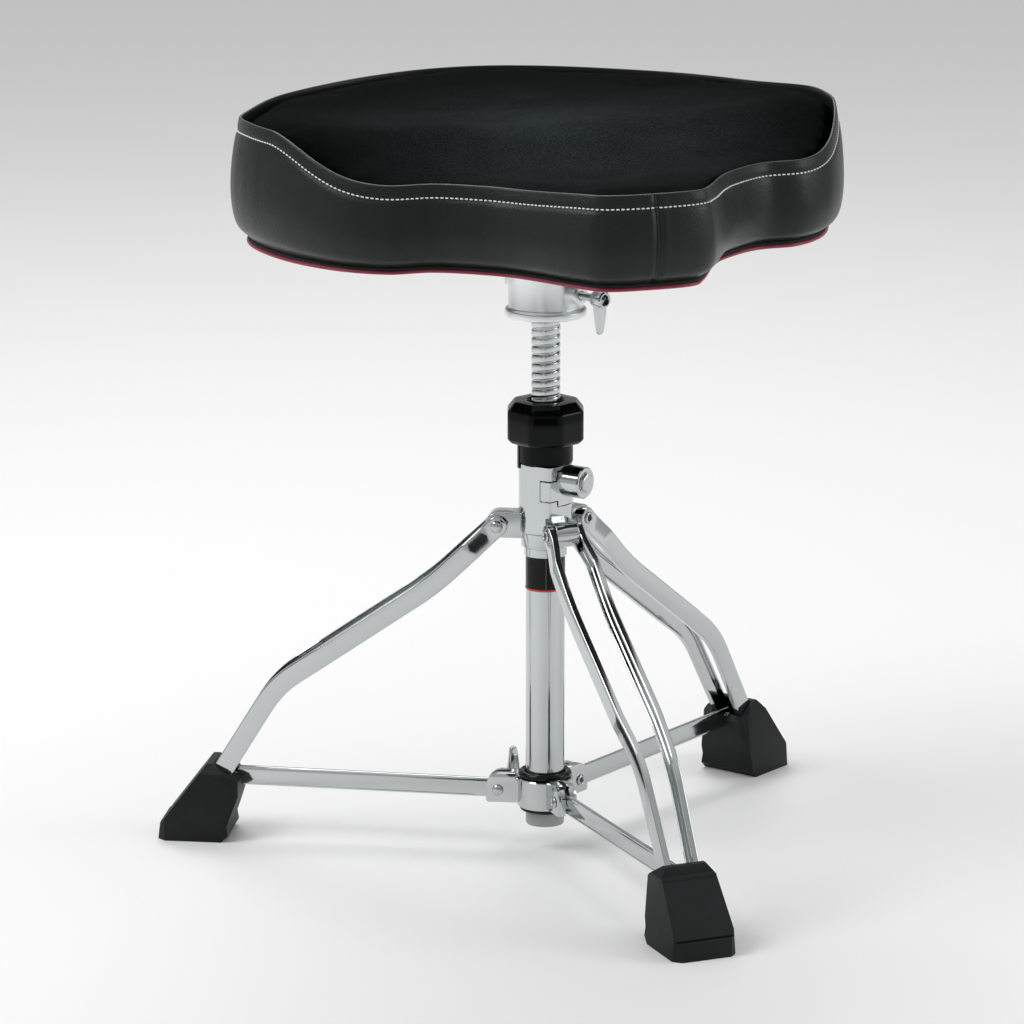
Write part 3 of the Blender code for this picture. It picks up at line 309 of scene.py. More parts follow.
def makePlywood():
    finish = Finish("plywood", (0.5, 0.36, 0.2), 0.6)
    grain = finish.noise(55, 5, (1, 12, 1), 0.6)
    finish.put("Base Color", finish.tint(grain, (0.34, 0.22, 0.11), (0.60, 0.45, 0.27)))
    finish.put("Roughness", 0.5 + 0.2 * grain)
    finish.bump(grain, 0.2, 0.0004)
    return finish.material


chrome = makeChrome("chromePlate", 0.07, (0.55, 0.58, 0.58), (1, 1, 0.04))
steel = makeChrome("brightSteel", 0.16, (0.55, 0.57, 0.57), (1, 1, 0.2))
threadMetal = makeChrome("threadPlating", 0.13, (0.62, 0.65, 0.65), (0.3, 0.3, 1))
castMetal = makeChrome("satinCasting", 0.24, (0.80, 0.83, 0.83), (1, 1, 1))
greyPlastic = makePlastic("greyCap", (0.30, 0.31, 0.31), 0.38, 700, 0.08)
glossBlack = makePlastic("nutBlack", (0.0015, 0.002, 0.002), 0.14, 60, 0.03, 0.16)
satinBlack = makePlastic("sleeveBlack", (0.002, 0.003, 0.003), 0.36, 1300, 0.3, 0.14)
bandBlack = makePlastic("bandBlack", (0.003, 0.003, 0.003), 0.2, 900, 0.06, 0.2)
ringBlack = makePlastic("ringRubber", (0.002, 0.002, 0.002), 0.2, 500, 0.05, 0.25)
redPlastic = makePlastic("redRing", (0.62, 0.035, 0.022), 0.3, 500, 0.05)
rubber = makeRubber()
leather = makeLeather()
velvet = makeVelvet()
pipingRed = makePlastic("crimsonPiping", (0.24, 0.018, 0.045), 0.36, 1100, 0.2)
# Grey for the band's seam and the seat's rim bead; on the rim its lighter grey paints the highlight line
# along the leather's edge.
greyEdgeAndHighlight = makePlastic("leatherEdgeAndHighlight", (0.045, 0.05, 0.05), 0.3, 900, 0.1)
# Flat black that paints the shade in the ear's slit, in the ring rivets' hollows and in the nose seam's
# groove.
paintedSeamShade = makePlastic("seamShadow", (0.003, 0.003, 0.003), 0.5, 900, 0.1)
threadWhite = makeFlecked("whiteThread", (0.72, 0.72, 0.70), (0.92, 0.92, 0.90), 0.6, 2600, 0.0002)
# Black lining for the seat's bottom cover; the same black paints the shade band under the leather's tuck.
liningAndShade = makeFlecked("blackLiningAndShade", (0.006, 0.006, 0.006), (0.02, 0.02, 0.02), 0.9, 1100, 0.0005)
plywood = makePlywood()
print("materials made")


# Mesh tools

def vertsOf(made):
    return [part for part in made["geom"] if isinstance(part, bmesh.types.BMVert)]


def weld(bm):
    bmesh.ops.remove_doubles(bm, verts=bm.verts, dist=0.001)
    bmesh.ops.recalc_face_normals(bm, faces=bm.faces)
    return bm


def placed(bm, place):
    bmesh.ops.transform(bm, matrix=place, verts=bm.verts)
    return bm


def oblong(left, low, right, high):
    return [(left, low), (right, low), (right, high), (left, high)]


def lathe(profile, sides=96):  # (radius, height) points; a profile off the axis at both ends is a ring
    bm = bmesh.new()
    points = [bm.verts.new((r, 0, z)) for r, z in profile]
    edges = [bm.edges.new(pair) for pair in zip(points, points[1:])]
    if profile[0][0] > 0 and profile[-1][0] > 0:
        edges.append(bm.edges.new((points[-1], points[0])))
    bmesh.ops.spin(bm, geom=points + edges, axis=(0, 0, 1), cent=(0, 0, 0), angle=2 * pi,
                   steps=sides, use_merge=True)
    return weld(bm)


def helix(profile, low, high, pitch, steps, ends, gap):  # one turn's profile, wound up from low to high
    turns = max(1, floor((high - low) / pitch))
    bm = bmesh.new()
    points = [bm.verts.new((r, 0, low + z)) for r, z in profile]
    edges = [bm.edges.new(pair) for pair in zip(points, points[1:])]
    bmesh.ops.spin(bm, geom=points + edges, axis=(0, 0, 1), cent=(0, 0, 0), angle=2 * pi * turns,
                   dvec=(0, 0, pitch / steps), steps=steps * turns)
    bmesh.ops.remove_doubles(bm, verts=bm.verts, dist=gap)
    for height, way in ((low + ends[0], -1), (high - ends[1], 1)):
        bmesh.ops.bisect_plane(bm, geom=bm.verts[:] + bm.edges[:] + bm.faces[:], plane_co=(0, 0, height),
                               plane_no=(0, 0, way), clear_outer=True)
    bmesh.ops.edgeloop_fill(bm, edges=[e for e in bm.edges if len(e.link_faces) == 1])
    return bm


def slab(outline, low, high):
    bm = bmesh.new()
    face = bm.faces.new([bm.verts.new((x, y, low)) for x, y in outline])
    raised = vertsOf(bmesh.ops.extrude_face_region(bm, geom=[face]))
    bmesh.ops.translate(bm, verts=raised, vec=(0, 0, high - low))
    bmesh.ops.recalc_face_normals(bm, faces=bm.faces)
    return bm


def turn(bm, angle, axis):
    bmesh.ops.rotate(bm, verts=bm.verts, cent=(0, 0, 0), matrix=Matrix.Rotation(radians(angle), 3, axis))
    return bm


def move(bm, x=0.0, y=0.0, z=0.0):
    bmesh.ops.translate(bm, verts=bm.verts, vec=(x, y, z))
    return bm


def sideSlab(outline, half):  # drawn as (outward, up) and thick along Y
    return turn(slab(outline, -half, half), 90, "X")


def peg(profile, sides=48):  # a lathe piece laid along +X
    return turn(lathe(profile, sides), 90, "Y")


def soften(bm, offset, segments=3, sharperThan=30, where=None):
    edges = [e for e in bm.edges if len(e.link_faces) == 2
             and e.calc_face_angle() > radians(sharperThan) and (where is None or where(e))]
    bmesh.ops.bevel(bm, geom=edges, offset=offset, offset_type="OFFSET", segments=segments,
                    profile=0.5, affect="EDGES", clamp_overlap=True, material=-1)
    return bm


def addTo(bm, other, place=None):
    if place:
        placed(other, place)
    loose = bpy.data.meshes.new("loose")
    other.to_mesh(loose)
    other.free()
    bm.from_mesh(loose)
    bpy.data.meshes.remove(loose)


def newObject(name, bm, *materials):
    mesh = bpy.data.meshes.new(name)
    bm.to_mesh(mesh)
    bm.free()
    for material in materials:
        mesh.materials.append(material)
    obj = bpy.data.objects.new(name, mesh)
    bpy.context.scene.collection.objects.link(obj)
    return obj


def carve(bm, *tools, operation="DIFFERENCE"):
    body = newObject("loose", bm)
    shapes = [newObject("loose", tool) for tool in tools]
    for shape in shapes:
        step = body.modifiers.new("carve", "BOOLEAN")
        step.operation = operation
        step.solver = "EXACT"
        step.object = shape
    graph = bpy.context.evaluated_depsgraph_get()
    carved = bmesh.new()
    carved.from_mesh(body.evaluated_get(graph).to_mesh())
    for obj in [body] + shapes:
        mesh = obj.data
        bpy.data.objects.remove(obj)
        bpy.data.meshes.remove(mesh)
    return carved


def skin(loops, capped=True):  # the first loop is drawn and the others are extruded from it
    bm = bmesh.new()
    verts = [bm.verts.new(p) for p in loops[0]]
    edges = [bm.edges.new(pair) for pair in zip(verts, verts[1:] + verts[:1])]
    if capped:
        bm.faces.new(verts)
    for loop in loops[1:]:
        grown = bmesh.ops.extrude_edge_only(bm, edges=edges)["geom"]
        fresh = {part for part in grown if isinstance(part, bmesh.types.BMVert)}
        verts = [next(e.other_vert(v) for e in v.link_edges if e.other_vert(v) in fresh) for v in verts]
        edges = [part for part in grown if isinstance(part, bmesh.types.BMEdge)]
        for vert, point in zip(verts, loop):
            vert.co = point
    if capped:
        bm.faces.new(verts)
    return weld(bm)


def arc(centre, radius, start, end, steps):
    angles = [radians(start + (end - start) * i / steps) for i in range(steps + 1)]
    return [(centre[0] + radius * cos(a), centre[1] + radius * sin(a)) for a in angles]


def curveThrough(knots, steps, closed=False):  # a smooth curve through its knots
    knots = [Vector(k) for k in knots]
    count = len(knots)
    points = []
    for i in range(count if closed else count - 1):
        if closed:
            a, b, c, d = (knots[(i + k) % count] for k in (-1, 0, 1, 2))
        else:
            a, b, c, d = (knots[min(max(i + k, 0), count - 1)] for k in (-1, 0, 1, 2))
        for step in range(steps):
            t = step / steps
            points.append(0.5 * (2 * b + (c - a) * t + (2 * a - 5 * b + 4 * c - d) * t * t
                                 + (3 * b - a - 3 * c + d) * t ** 3))
    return points if closed else points + [knots[-1]]


def finishPiece(name, bm, material, body, nodes=(), place=None, edge=0.0, sharp=38):
    if place:
        placed(bm, place)
    weld(bm)
    bmesh.ops.scale(bm, vec=(mm, mm, mm), verts=bm.verts)
    obj = newObject(name, bm, material)
    obj.data.shade_smooth()
    obj.data.set_sharp_from_angle(angle=radians(sharp))
    if edge:
        rounding = obj.modifiers.new("rounding", "BEVEL")
        rounding.width = edge * mm
        rounding.segments = 2
        rounding.limit_method = "ANGLE"
        rounding.angle_limit = radians(34)
        rounding.harden_normals = True
    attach(obj, body)
    if nodes:
        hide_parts(*nodes)


# Floor, and the dark cards that the chrome mirrors

def makeFloor():
    bm = bmesh.new()
    bmesh.ops.create_grid(bm, x_segments=1, y_segments=1, size=20)
    tone = studio["floor"]
    newObject("floor", bm, Finish("paleFloor", (tone, tone, tone), 0.75).material)


def makeCards():
    dark = Finish("darkCard", (0.01, 0.01, 0.01), 1.0).material
    for number, (azimuth, distance, width, height) in enumerate(darkCards):
        bm = bmesh.new()
        bmesh.ops.create_grid(bm, x_segments=1, y_segments=1, size=0.5)
        bmesh.ops.scale(bm, vec=(width, 2 * height, 1), verts=bm.verts)
        turn(turn(bm, 90, "X"), azimuth, "Z")
        move(bm, *(outward(azimuth) * distance + Vector((0, columnY, height))))
        bmesh.ops.scale(bm, vec=(mm, mm, mm), verts=bm.verts)
        card = newObject(f"card{number}", bm, dark)
        card.visible_camera = card.visible_shadow = card.visible_diffuse = False


makeFloor()
makeCards()
print("floor made")


# Column

column = {
    "tube": 15.0,
    "wall": 2.0,
    "bandGroove": 0.6,
    "bandProud": 0.2,
    "seamWidth": 0.8,
    "seamAzimuth": -21,
    "capEdge": 1.2,
}


def makeColumn():
    radius = column["tube"]
    bore = radius - column["wall"]
    low, high = bottomOf("base_tube"), topOf("base_tube")
    bandLow, bandHigh = bottomOf("tube_band"), topOf("tube_band")
    ringLow, ringHigh = bottomOf("band_ring"), topOf("band_ring")
    groove = radius - column["bandGroove"]
    tube = lathe([
        (radius, high), (bore, high), (bore, low), (radius - 0.4, low), (radius, low + 0.4),
        (radius, ringLow - 0.3), (groove, ringLow - 0.3), (groove, bandHigh + 0.2),
        (radius, bandHigh + 0.2),
    ])
    finishPiece("baseTube", tube, chrome, "stand", ["base_tube"], upright)
    outside = radius + column["bandProud"]
    band = lathe([(groove + 0.3, bandLow), (outside - 0.2, bandLow), (outside, bandLow + 0.2),
                  (outside, bandHigh - 0.2), (outside - 0.2, bandHigh), (groove + 0.3, bandHigh)])
    half = column["seamWidth"] / 2
    seam = slab(oblong(outside - 0.3, -half, outside + 0.05, half), bandLow + 0.5, bandHigh - 0.5)
    finishPiece("tubeBand", band, bandBlack, "stand", ["tube_band"], upright)
    finishPiece("bandSeam", seam, greyEdgeAndHighlight, "stand",
                place=spoke(column["seamAzimuth"]))
    ring = lathe([(groove + 0.3, ringLow)] + arc((outside - 0.3, (ringLow + ringHigh) / 2),
                                                 (ringHigh - ringLow) / 2, -90, 90, 6)
                 + [(groove + 0.3, ringHigh)])
    finishPiece("bandRing", ring, redPlastic, "stand", ["band_ring"], upright)
    capLow, capHigh = bottomOf("tube_end_cap"), topOf("tube_end_cap")
    edge = column["capEdge"]
    cap = lathe([(0, capLow + 0.6), (9, capLow + 0.6), (9.6, capLow)]
                + arc((radius - 0.15 - edge, capLow + edge), edge, -90, 0, 5)
                + [(radius - 0.15, low - 1.5), (radius - 0.45, low - 1.3), (radius - 0.45, low - 0.3),
                   (bore - 0.3, low - 0.3), (bore - 0.3, capHigh), (0, capHigh)])
    finishPiece("tubeEndCap", cap, greyPlastic, "stand", ["tube_end_cap"], upright)


makeColumn()
print("column made")


# Leg holder, its clamp and the sleeve above it

holder = {
    "bore": 15.3,
    "lipRadius": 16.4, "lipHeight": 6.4,
    "lowerRadius": 18.7, "step": 252.2, "radius": 20.5,
    "cornerReach": 25.0, "cornerAzimuth": -15,
    "lugRadius": 9.8, "lugHalfWidth": 9.2, "pivot": (35.8, 257.4),
}
jaw = {
    "end": -33, "wide": 3, "bolt": 34, "far": 62,
    "inner": 16.6, "proud": 0.9, "low": 276.2, "high": 302.7, "lugLow": 280.5, "lugHigh": 295.3,
    "bossRadius": 12.2, "bossReach": 36.5, "boltHeight": 294.4, "boltFlats": 13.4, "boltHead": 2.2,
    "gap": 1.1, "slack": 1.9, "windowReach": 30,
}
cornerHalf = degrees(acos(holder["radius"] / holder["cornerReach"]))


def holderReach(azimuth):
    away = abs(azimuth - holder["cornerAzimuth"])
    return holder["radius"] if away >= cornerHalf else holder["radius"] / cos(radians(cornerHalf - away))


def jawPlan(start, spread, outer, inner):
    first, last = start - spread, jaw["far"] + spread
    angles = [first] + [a for a in range(-88, 91, 2) if first + 0.5 < a < last - 0.5] + [last]
    points = [outward(a) * (outer or holderReach(a) + jaw["proud"]) for a in angles]
    points += [outward(a) * inner for a in reversed(angles)]
    return [(p.x, p.y) for p in points]


def makeHolder():
    low, high = bottomOf("leg_holder"), topOf("leg_holder")
    bore, lip, lower, radius = (holder[key] for key in ("bore", "lipRadius", "lowerRadius", "radius"))
    step, lipTop = holder["step"], low + holder["lipHeight"]
    body = lathe([
        (bore, low), (lip - 0.5, low), (lip, low + 0.5), (lip, lipTop), (lower - 0.3, lipTop + 1.0),
        (lower, lipTop + 1.6), (lower, step), (radius - 0.4, step + 1.0), (radius, step + 1.6),
        (radius, high - 0.6), (radius - 0.6, high), (bore, high),
    ], 120)
    azimuth = holder["cornerAzimuth"]
    corner = [outward(azimuth) * holder["cornerReach"], outward(azimuth + cornerHalf) * (radius - 0.02),
              outward(azimuth) * (bore + 1.1), outward(azimuth - cornerHalf) * (radius - 0.02)]
    wedge = slab([(p.x, p.y) for p in corner], step + 2.4, high - 0.3)
    soften(wedge, 1.4, 3, 60, lambda e: abs(e.verts[0].co.z - e.verts[1].co.z) > 5
           and e.verts[0].co.length > 22)
    tools = [wedge]
    x, z = holder["pivot"]
    root, lugRadius = bore + 0.9, holder["lugRadius"]
    outline = [(root, z - lugRadius)] + arc((x, z), lugRadius, -90, 90, 24) + [(root, z + lugRadius)]
    for legAzimuth in legAzimuths.values():
        lug = placed(soften(sideSlab(outline, holder["lugHalfWidth"]), 0.7, 3, 60), spoke(legAzimuth))
        tools.append(move(lug, y=-columnY))
    body = carve(body, *tools, operation="UNION")
    gap = jaw["gap"]
    windows = [slab(jawPlan(jaw[start], jaw["slack"], jaw["windowReach"], jaw["inner"] - 0.4),
                    jaw[bottom] - gap, jaw[top] + gap)
               for start, bottom, top in (("end", "lugLow", "lugHigh"), ("wide", "low", "high"))]
    body = carve(body, *windows)
    finishPiece("legHolder", body, chrome, "stand", ["leg_holder"], upright, sharp=32)


def makeJaw():
    inner, start, radius = jaw["inner"], jaw["bossReach"], jaw["bossRadius"]
    wide = slab(jawPlan(jaw["wide"], 0, None, inner), jaw["low"], jaw["high"])
    arm = slab(jawPlan(jaw["end"], 0, None, inner), jaw["lugLow"], jaw["lugHigh"])
    boss = peg([(0, inner + 2), (radius, inner + 2), (radius, start - 0.8), (radius - 0.8, start),
                (0, start)], 72)
    placed(boss, facing(jaw["bolt"], jaw["boltHeight"]))
    body = carve(wide, arm, boss, operation="UNION")
    clear = holder["radius"] + 0.7
    below = lathe(oblong(0, jaw["low"] - 40, clear, jaw["low"]))
    above = lathe(oblong(0, jaw["high"], clear, jaw["high"] + 20))
    inside = lathe(oblong(0, 200, inner, 400))
    body = carve(body, below, above, inside)
    finishPiece("clampJaw", body, chrome, "clamp_jaw", ["clamp_jaw"], upright, edge=0.35,
                sharp=32)
    corner, end = jaw["boltFlats"] / 2 / cos(pi / 6), start + jaw["boltHead"]
    bolt = peg([(0, start - 6), (4, start - 6), (4, start + 0.3), (corner, start + 0.3),
                (corner, end - 0.3), (corner - 0.9, end + 0.3), (0, end + 0.3)], 6)
    addTo(bolt, peg(oblong(4.2, start + 0.1, corner + 0.9, start + 0.5), 48))
    finishPiece("clampBolt", bolt, steel, "clamp_bolt", ["clamp_bolt"],
                spoke(jaw["bolt"], 0, jaw["boltHeight"]), edge=0.25)


sleeve = {
    "radius": 21.0, "rodRadius": 11.6,
    "tabAzimuth": -112, "tabWidth": 13, "tabProud": 0.9, "tabDrop": 4.5,
}


def makeSleeve():
    low, high = bottomOf("neck_sleeve"), topOf("neck_sleeve")
    shoulder = topOf("leg_holder") + 0.3
    radius, hole, plug = sleeve["radius"], sleeve["rodRadius"], holder["bore"] - 0.3
    body = lathe([(hole, high), (hole, low), (plug, low), (plug, shoulder), (radius - 0.6, shoulder),
                  (radius, shoulder + 0.6), (radius, high - 0.8), (radius - 0.8, high)])
    half = sleeve["tabWidth"] / radius / 2
    proud = radius + sleeve["tabProud"]
    plan = [(radius * cos(a), radius * sin(a)) for a in np.linspace(-half, half, 9)]
    plan += [(proud * cos(a), proud * sin(a)) for a in np.linspace(half, -half, 9)]
    tab = slab([(x - 0.3, y) for x, y in plan], shoulder - sleeve["tabDrop"], high - 1)
    addTo(body, tab, facing(sleeve["tabAzimuth"]))
    finishPiece("neckSleeve", body, satinBlack, "stand", ["neck_sleeve"], upright)


makeHolder()
makeJaw()
makeSleeve()
print("leg holder and clamp made")


# Height nut and threaded rod

nut = {
    "flats": 58.0, "azimuth": -23, "chamfer": 6.5, "topRadius": 25.5, "mouth": 14.5, "throat": 11.9,
    "throatDepth": 9.4, "foot": 3.0, "footInset": 2.5, "cornerRound": 2.2,
}
thread = {
    "radius": 11.25, "pitch": 6.75, "depth": 1.15, "grooveShare": 0.3, "crown": 0.28,
    "flatAzimuth": -118, "flatDepth": 0.55,
}


def octagonReach(angle):  # 1 at the middle of a flat; the corners are rounded off
    away = abs((angle + 22.5) % 45 - 22.5)
    return 1 / cos(radians(min(away, 22.5 - nut["cornerRound"])))


def makeNut():
    low, high = bottomOf("height_nut"), topOf("height_nut")
    mouth, throat, top = nut["mouth"], nut["throat"], nut["topRadius"]
    flat, shoulder = nut["flats"] / 2, high - nut["chamfer"]
    skirt, inset = low + nut["foot"], nut["flats"] / 2 - nut["footInset"]
    rows = [  # radius on a flat, height, how octagonal
        (throat, high - nut["throatDepth"] - 8, 0), (throat, high - nut["throatDepth"], 0),
        (mouth - 0.6, high - 1.0, 0), (mouth, high - 0.3, 0), (mouth + 0.5, high, 0),
        (top - 3.4, high, 0.9), (top - 2.4, high - 0.15, 1), (top - 1.5, high - 0.7, 1),
        (flat - 1.0, shoulder + 0.6, 1), (flat - 0.3, shoulder - 0.3, 1), (flat, shoulder - 1.2, 1),
        (flat, skirt + 0.8, 1), (flat - 0.4, skirt - 0.2, 1), (inset, low + 0.4, 1), (inset - 0.6, low, 1),
        (throat + 6, low, 0), (throat + 6, low + 10, 0), (throat, low + 10, 0),
    ]
    loops = []
    for radius, height, share in rows + rows[:1]:
        loop = []
        for step in range(120):
            angle = 3.0 * step + 1.5
            way = outward(nut["azimuth"] + angle) * radius * (1 + share * (octagonReach(angle) - 1))
            loop.append((way.x, way.y, height))
        loops.append(loop)
    finishPiece("heightNut", skin(loops, capped=False), glossBlack, "nut", ["height_nut"],
                upright, sharp=28)


def makeRod():
    low, high = bottomOf("threaded_rod"), topOf("threaded_rod")
    pitch, radius, depth, crown = (thread[key] for key in ("pitch", "radius", "depth", "crown"))
    groove = thread["grooveShare"] * pitch
    crest = pitch - groove
    profile = [(radius - crown * (2 * t - 1) ** 4, t * crest) for t in np.linspace(0, 1, 7)]
    profile += [(radius - crown - (depth - crown) * sin(pi * t), crest + t * groove)
                for t in (0.2, 0.4, 0.6, 0.8, 1)]
    rod = helix(profile, low, high, pitch, 40, (0.3, 0.1), 0.02)
    way = outward(thread["flatAzimuth"])
    limit = radius - thread["flatDepth"]
    for vert in rod.verts:
        over = vert.co.dot(way) - limit
        if over > 0:
            vert.co -= way * over
    finishPiece("threadedRod", rod, threadMetal, "rod", ["threaded_rod"], upright, sharp=50)


makeNut()
makeRod()
print("height adjuster made")


# Seat bracket

bracket = {
    "flangeRadius": 31.0, "flangeHeight": 6.4, "radius": 28.4, "edge": 1.6,
    "earAzimuth": -110, "earWidth": 20.0, "earLow": 446.0, "earReach": 31.0,
    "length": 150.0, "width": 116.0, "corner": 13.0, "thick": 3.2,
    "boltAzimuth": 25, "boltHeight": 441.0, "bossReach": 38.0, "bossRadius": 7.5, "wingAt": 52.0,
}
seatTurn = -3
seatPlace = upright @ Matrix.Rotation(radians(seatTurn), 4, "Z")


def seatSpoke(azimuth, height=0.0):
    return seatPlace @ facing(azimuth, height)


def roundedRectangle(length, width, radius, steps=8):
    x, y = length / 2 - radius, width / 2 - radius
    points = []
    for centre, start in (((x, y), 0), ((-x, y), 90), ((-x, -y), 180), ((x, -y), 270)):
        points += arc(centre, radius, start, start + 90, steps)
    return points


def makeBracket():
    low, high = bottomOf("seat_hub"), topOf("seat_hub")
    flange, edge, radius = bracket["flangeRadius"], bracket["edge"], bracket["radius"]
    flangeTop = low + bracket["flangeHeight"]
    socket = thread["radius"] + 0.4
    hub = lathe([(socket, low + 30), (socket, low + 1.2), (socket + 1.2, low)]
                + arc((flange - edge, low + edge), edge, -90, 0, 4)
                + arc((flange - edge, flangeTop - edge), edge, 0, 70, 4)
                + [(radius + 0.7, flangeTop + 0.25), (radius + 0.15, flangeTop + 0.9),
                   (radius, flangeTop + 1.8), (radius, high - 4.4), (radius + 0.8, high - 3.4),
                   (radius + 2.2, high - 3.0), (radius + 2.2, high - 1.5), (socket, high - 1.5)], 120)
    plate = slab(roundedRectangle(bracket["length"], bracket["width"], bracket["corner"]),
                 high - bracket["thick"], high)
    addTo(hub, soften(plate, 0.5, 2, 60), Matrix.Rotation(radians(seatTurn), 4, "Z"))
    half, reach, earLow = bracket["earWidth"] / 2, bracket["earReach"], bracket["earLow"]
    earHigh, notch = high - bracket["thick"] + 0.5, earLow + 12
    ear = sideSlab([(10, earLow), (reach - 1.2, earLow), (reach, earLow + 1.2), (reach, notch),
                    (reach - 1.4, notch + 1.5), (reach - 1.4, earHigh), (10, earHigh)], half)
    addTo(hub, soften(ear, 0.6, 2, 60), facing(seatTurn + bracket["earAzimuth"]))
    end, bossRadius = bracket["bossReach"], bracket["bossRadius"]
    boss = peg([(3.4, radius - 6), (bossRadius, radius - 6), (bossRadius, end - 1), (bossRadius - 1, end),
                (3.8, end), (3.4, end - 0.5)], 48)
    addTo(hub, boss, facing(seatTurn + bracket["boltAzimuth"], bracket["boltHeight"]))
    finishPiece("seatHub", hub, castMetal, "seat", ["seat_hub"], upright, sharp=40)
    # A thin black slab paints the shade inside the ear's slit.
    slit = sideSlab(oblong(reach - 0.8, notch + 3, reach + 0.1, notch + 3.8), half * 0.8)
    finishPiece("hubSlit", slit, paintedSeamShade, "seat",
                place=seatSpoke(bracket["earAzimuth"]))


wing = {
    "hubRadius": 6.4, "hubLength": 11.0, "hollow": 4.0, "hollowDepth": 6.0, "screwRadius": 3.0,
    "screwPitch": 1.25, "screwDepth": 0.45,
    "length": 27.0, "rootWidth": 10.5, "tipWidth": 7.5, "thick": 6.0, "tipThick": 2.6,
}


def makeWingBolt(name, node, tip, wingAt, place, pointsUp):
    end, radius, hollow = wingAt + wing["hubLength"], wing["hubRadius"], wing["hollow"]
    bottom = end - wing["hollowDepth"]
    bolt = peg([(0, wingAt - 0.8), (4.4, wingAt - 0.8), (5.6, wingAt), (radius, wingAt + 1.2),
                (radius, end - 0.9), (radius - 0.9, end), (hollow + 0.5, end), (hollow, end - 0.5),
                (hollow, bottom), (0, bottom)], 48)
    root, blunt, length = wing["rootWidth"] / 2, wing["tipWidth"] / 2, wing["length"]
    if not pointsUp:
        length = -length
    right = [(root, 0), (root * 0.9, length * 0.45), (blunt, length * 0.78), (blunt * 0.8, length * 0.93),
             (blunt * 0.3, length)]
    outline = [(-root, 0)] + right + [(-x, y) for x, y in reversed(right[1:])]
    blade = sideSlab(outline, wing["thick"] / 2)
    for vert in blade.verts:
        share = min(1, abs(vert.co.z) / wing["length"])
        vert.co.y *= 1 + share * (wing["tipThick"] / wing["thick"] - 1)
    turn(soften(blade, 0.8, 3, 40), 90, "Z")
    addTo(bolt, move(blade, x=(wingAt + end) / 2))
    crest, pitch = wing["screwRadius"], wing["screwPitch"]
    valley = crest - wing["screwDepth"]
    profile = [(valley, 0), (crest, 0.4 * pitch), (crest, 0.6 * pitch), (valley, pitch)]
    screw = helix(profile, tip, wingAt + 1.5, pitch, 24, (pitch, pitch), 0.01)
    addTo(bolt, turn(screw, 90, "Y"))
    finishPiece(name, bolt, chrome, node, [node], place, sharp=35)


makeBracket()
makeWingBolt("seatWingBolt", "seat_wing_bolt", thread["radius"] + 1.2, bracket["wingAt"],
             seatSpoke(bracket["boltAzimuth"], bracket["boltHeight"]), False)
print("seat bracket made")


# Legs: each strip is seen from the side as (distance from the column, height)

leg = {
    "pivot": holder["pivot"], "highBend": (85.0, 210.0), "lowBend": (208.0, 125.0), "entry": (248.5, 59.0),
    "endHeight": 33.0, "tab": 8.0, "height": 15.5, "depth": 5.0, "wall": 1.8, "round": 1.1,
    "atPivot": 12.0, "wide": 15.5, "atFoot": 11.5, "joggle": (0.14, 0.42), "bendReach": 30.0,
    "joggleReach": 3.0, "flatRun": 0.5,
}
rivet = {"radius": 3.0, "head": 4.8, "dome": 2.6, "ringHole": 2.5}


def stripRoute():  # stations of (distance, sideways, height) with the bends rounded
    pivot, high, low, entry = (Vector(leg[k]) for k in ("pivot", "highBend", "lowBend", "entry"))
    start = pivot + (pivot - high).normalized() * leg["tab"]
    down = (entry - low).normalized()
    end = entry + down * ((entry.y - leg["endHeight"]) / -down.y)
    wide, atFoot = leg["wide"], leg["atFoot"]
    jog, long = leg["joggleReach"], leg["bendReach"]
    corners = [(start, leg["atPivot"], 0), (pivot.lerp(high, leg["joggle"][0]), leg["atPivot"], jog),
               (pivot.lerp(high, leg["joggle"][1]), wide, jog), (high, wide, long),
               (high.lerp(low, 0.72), wide, jog), (low, atFoot + 1.5, long), (entry, atFoot, jog),
               (end, atFoot, 0)]
    route = [(Vector((p.x, side, p.y)), reach) for p, side, reach in corners]
    stations = [route[0][0]]
    for (before, _), (here, wanted), (after, _) in zip(route, route[1:], route[2:]):
        back, on = before - here, after - here
        reach = min(wanted, 0.45 * back.length, 0.45 * on.length)
        first, last = here + back.normalized() * reach, here + on.normalized() * reach
        stations.append(first + back.normalized() * leg["flatRun"])
        for step in range(9):
            t = step / 8
            stations.append(first.lerp(here, t).lerp(here.lerp(last, t), t))
        stations.append(last + on.normalized() * leg["flatRun"])
    return stations + [route[-1][0]]


def stripSection():  # (across the height, outwards) of a channel with rounded outer edges
    h, d, r = leg["height"] / 2, leg["depth"] / 2, leg["round"]
    web, flange = d - leg["wall"], h - leg["wall"]
    return ([(-h, -d + 0.3), (-h + 0.3, -d), (-flange - 0.3, -d), (-flange, -d + 0.3), (-flange, web - 0.6),
             (-flange + 0.6, web), (flange - 0.6, web), (flange, web - 0.6), (flange, -d + 0.3),
             (flange + 0.3, -d), (h - 0.3, -d), (h, -d + 0.3)]
            + arc((h - r, d - r), r, 0, 90, 4) + arc((r - h, d - r), r, 90, 180, 4))


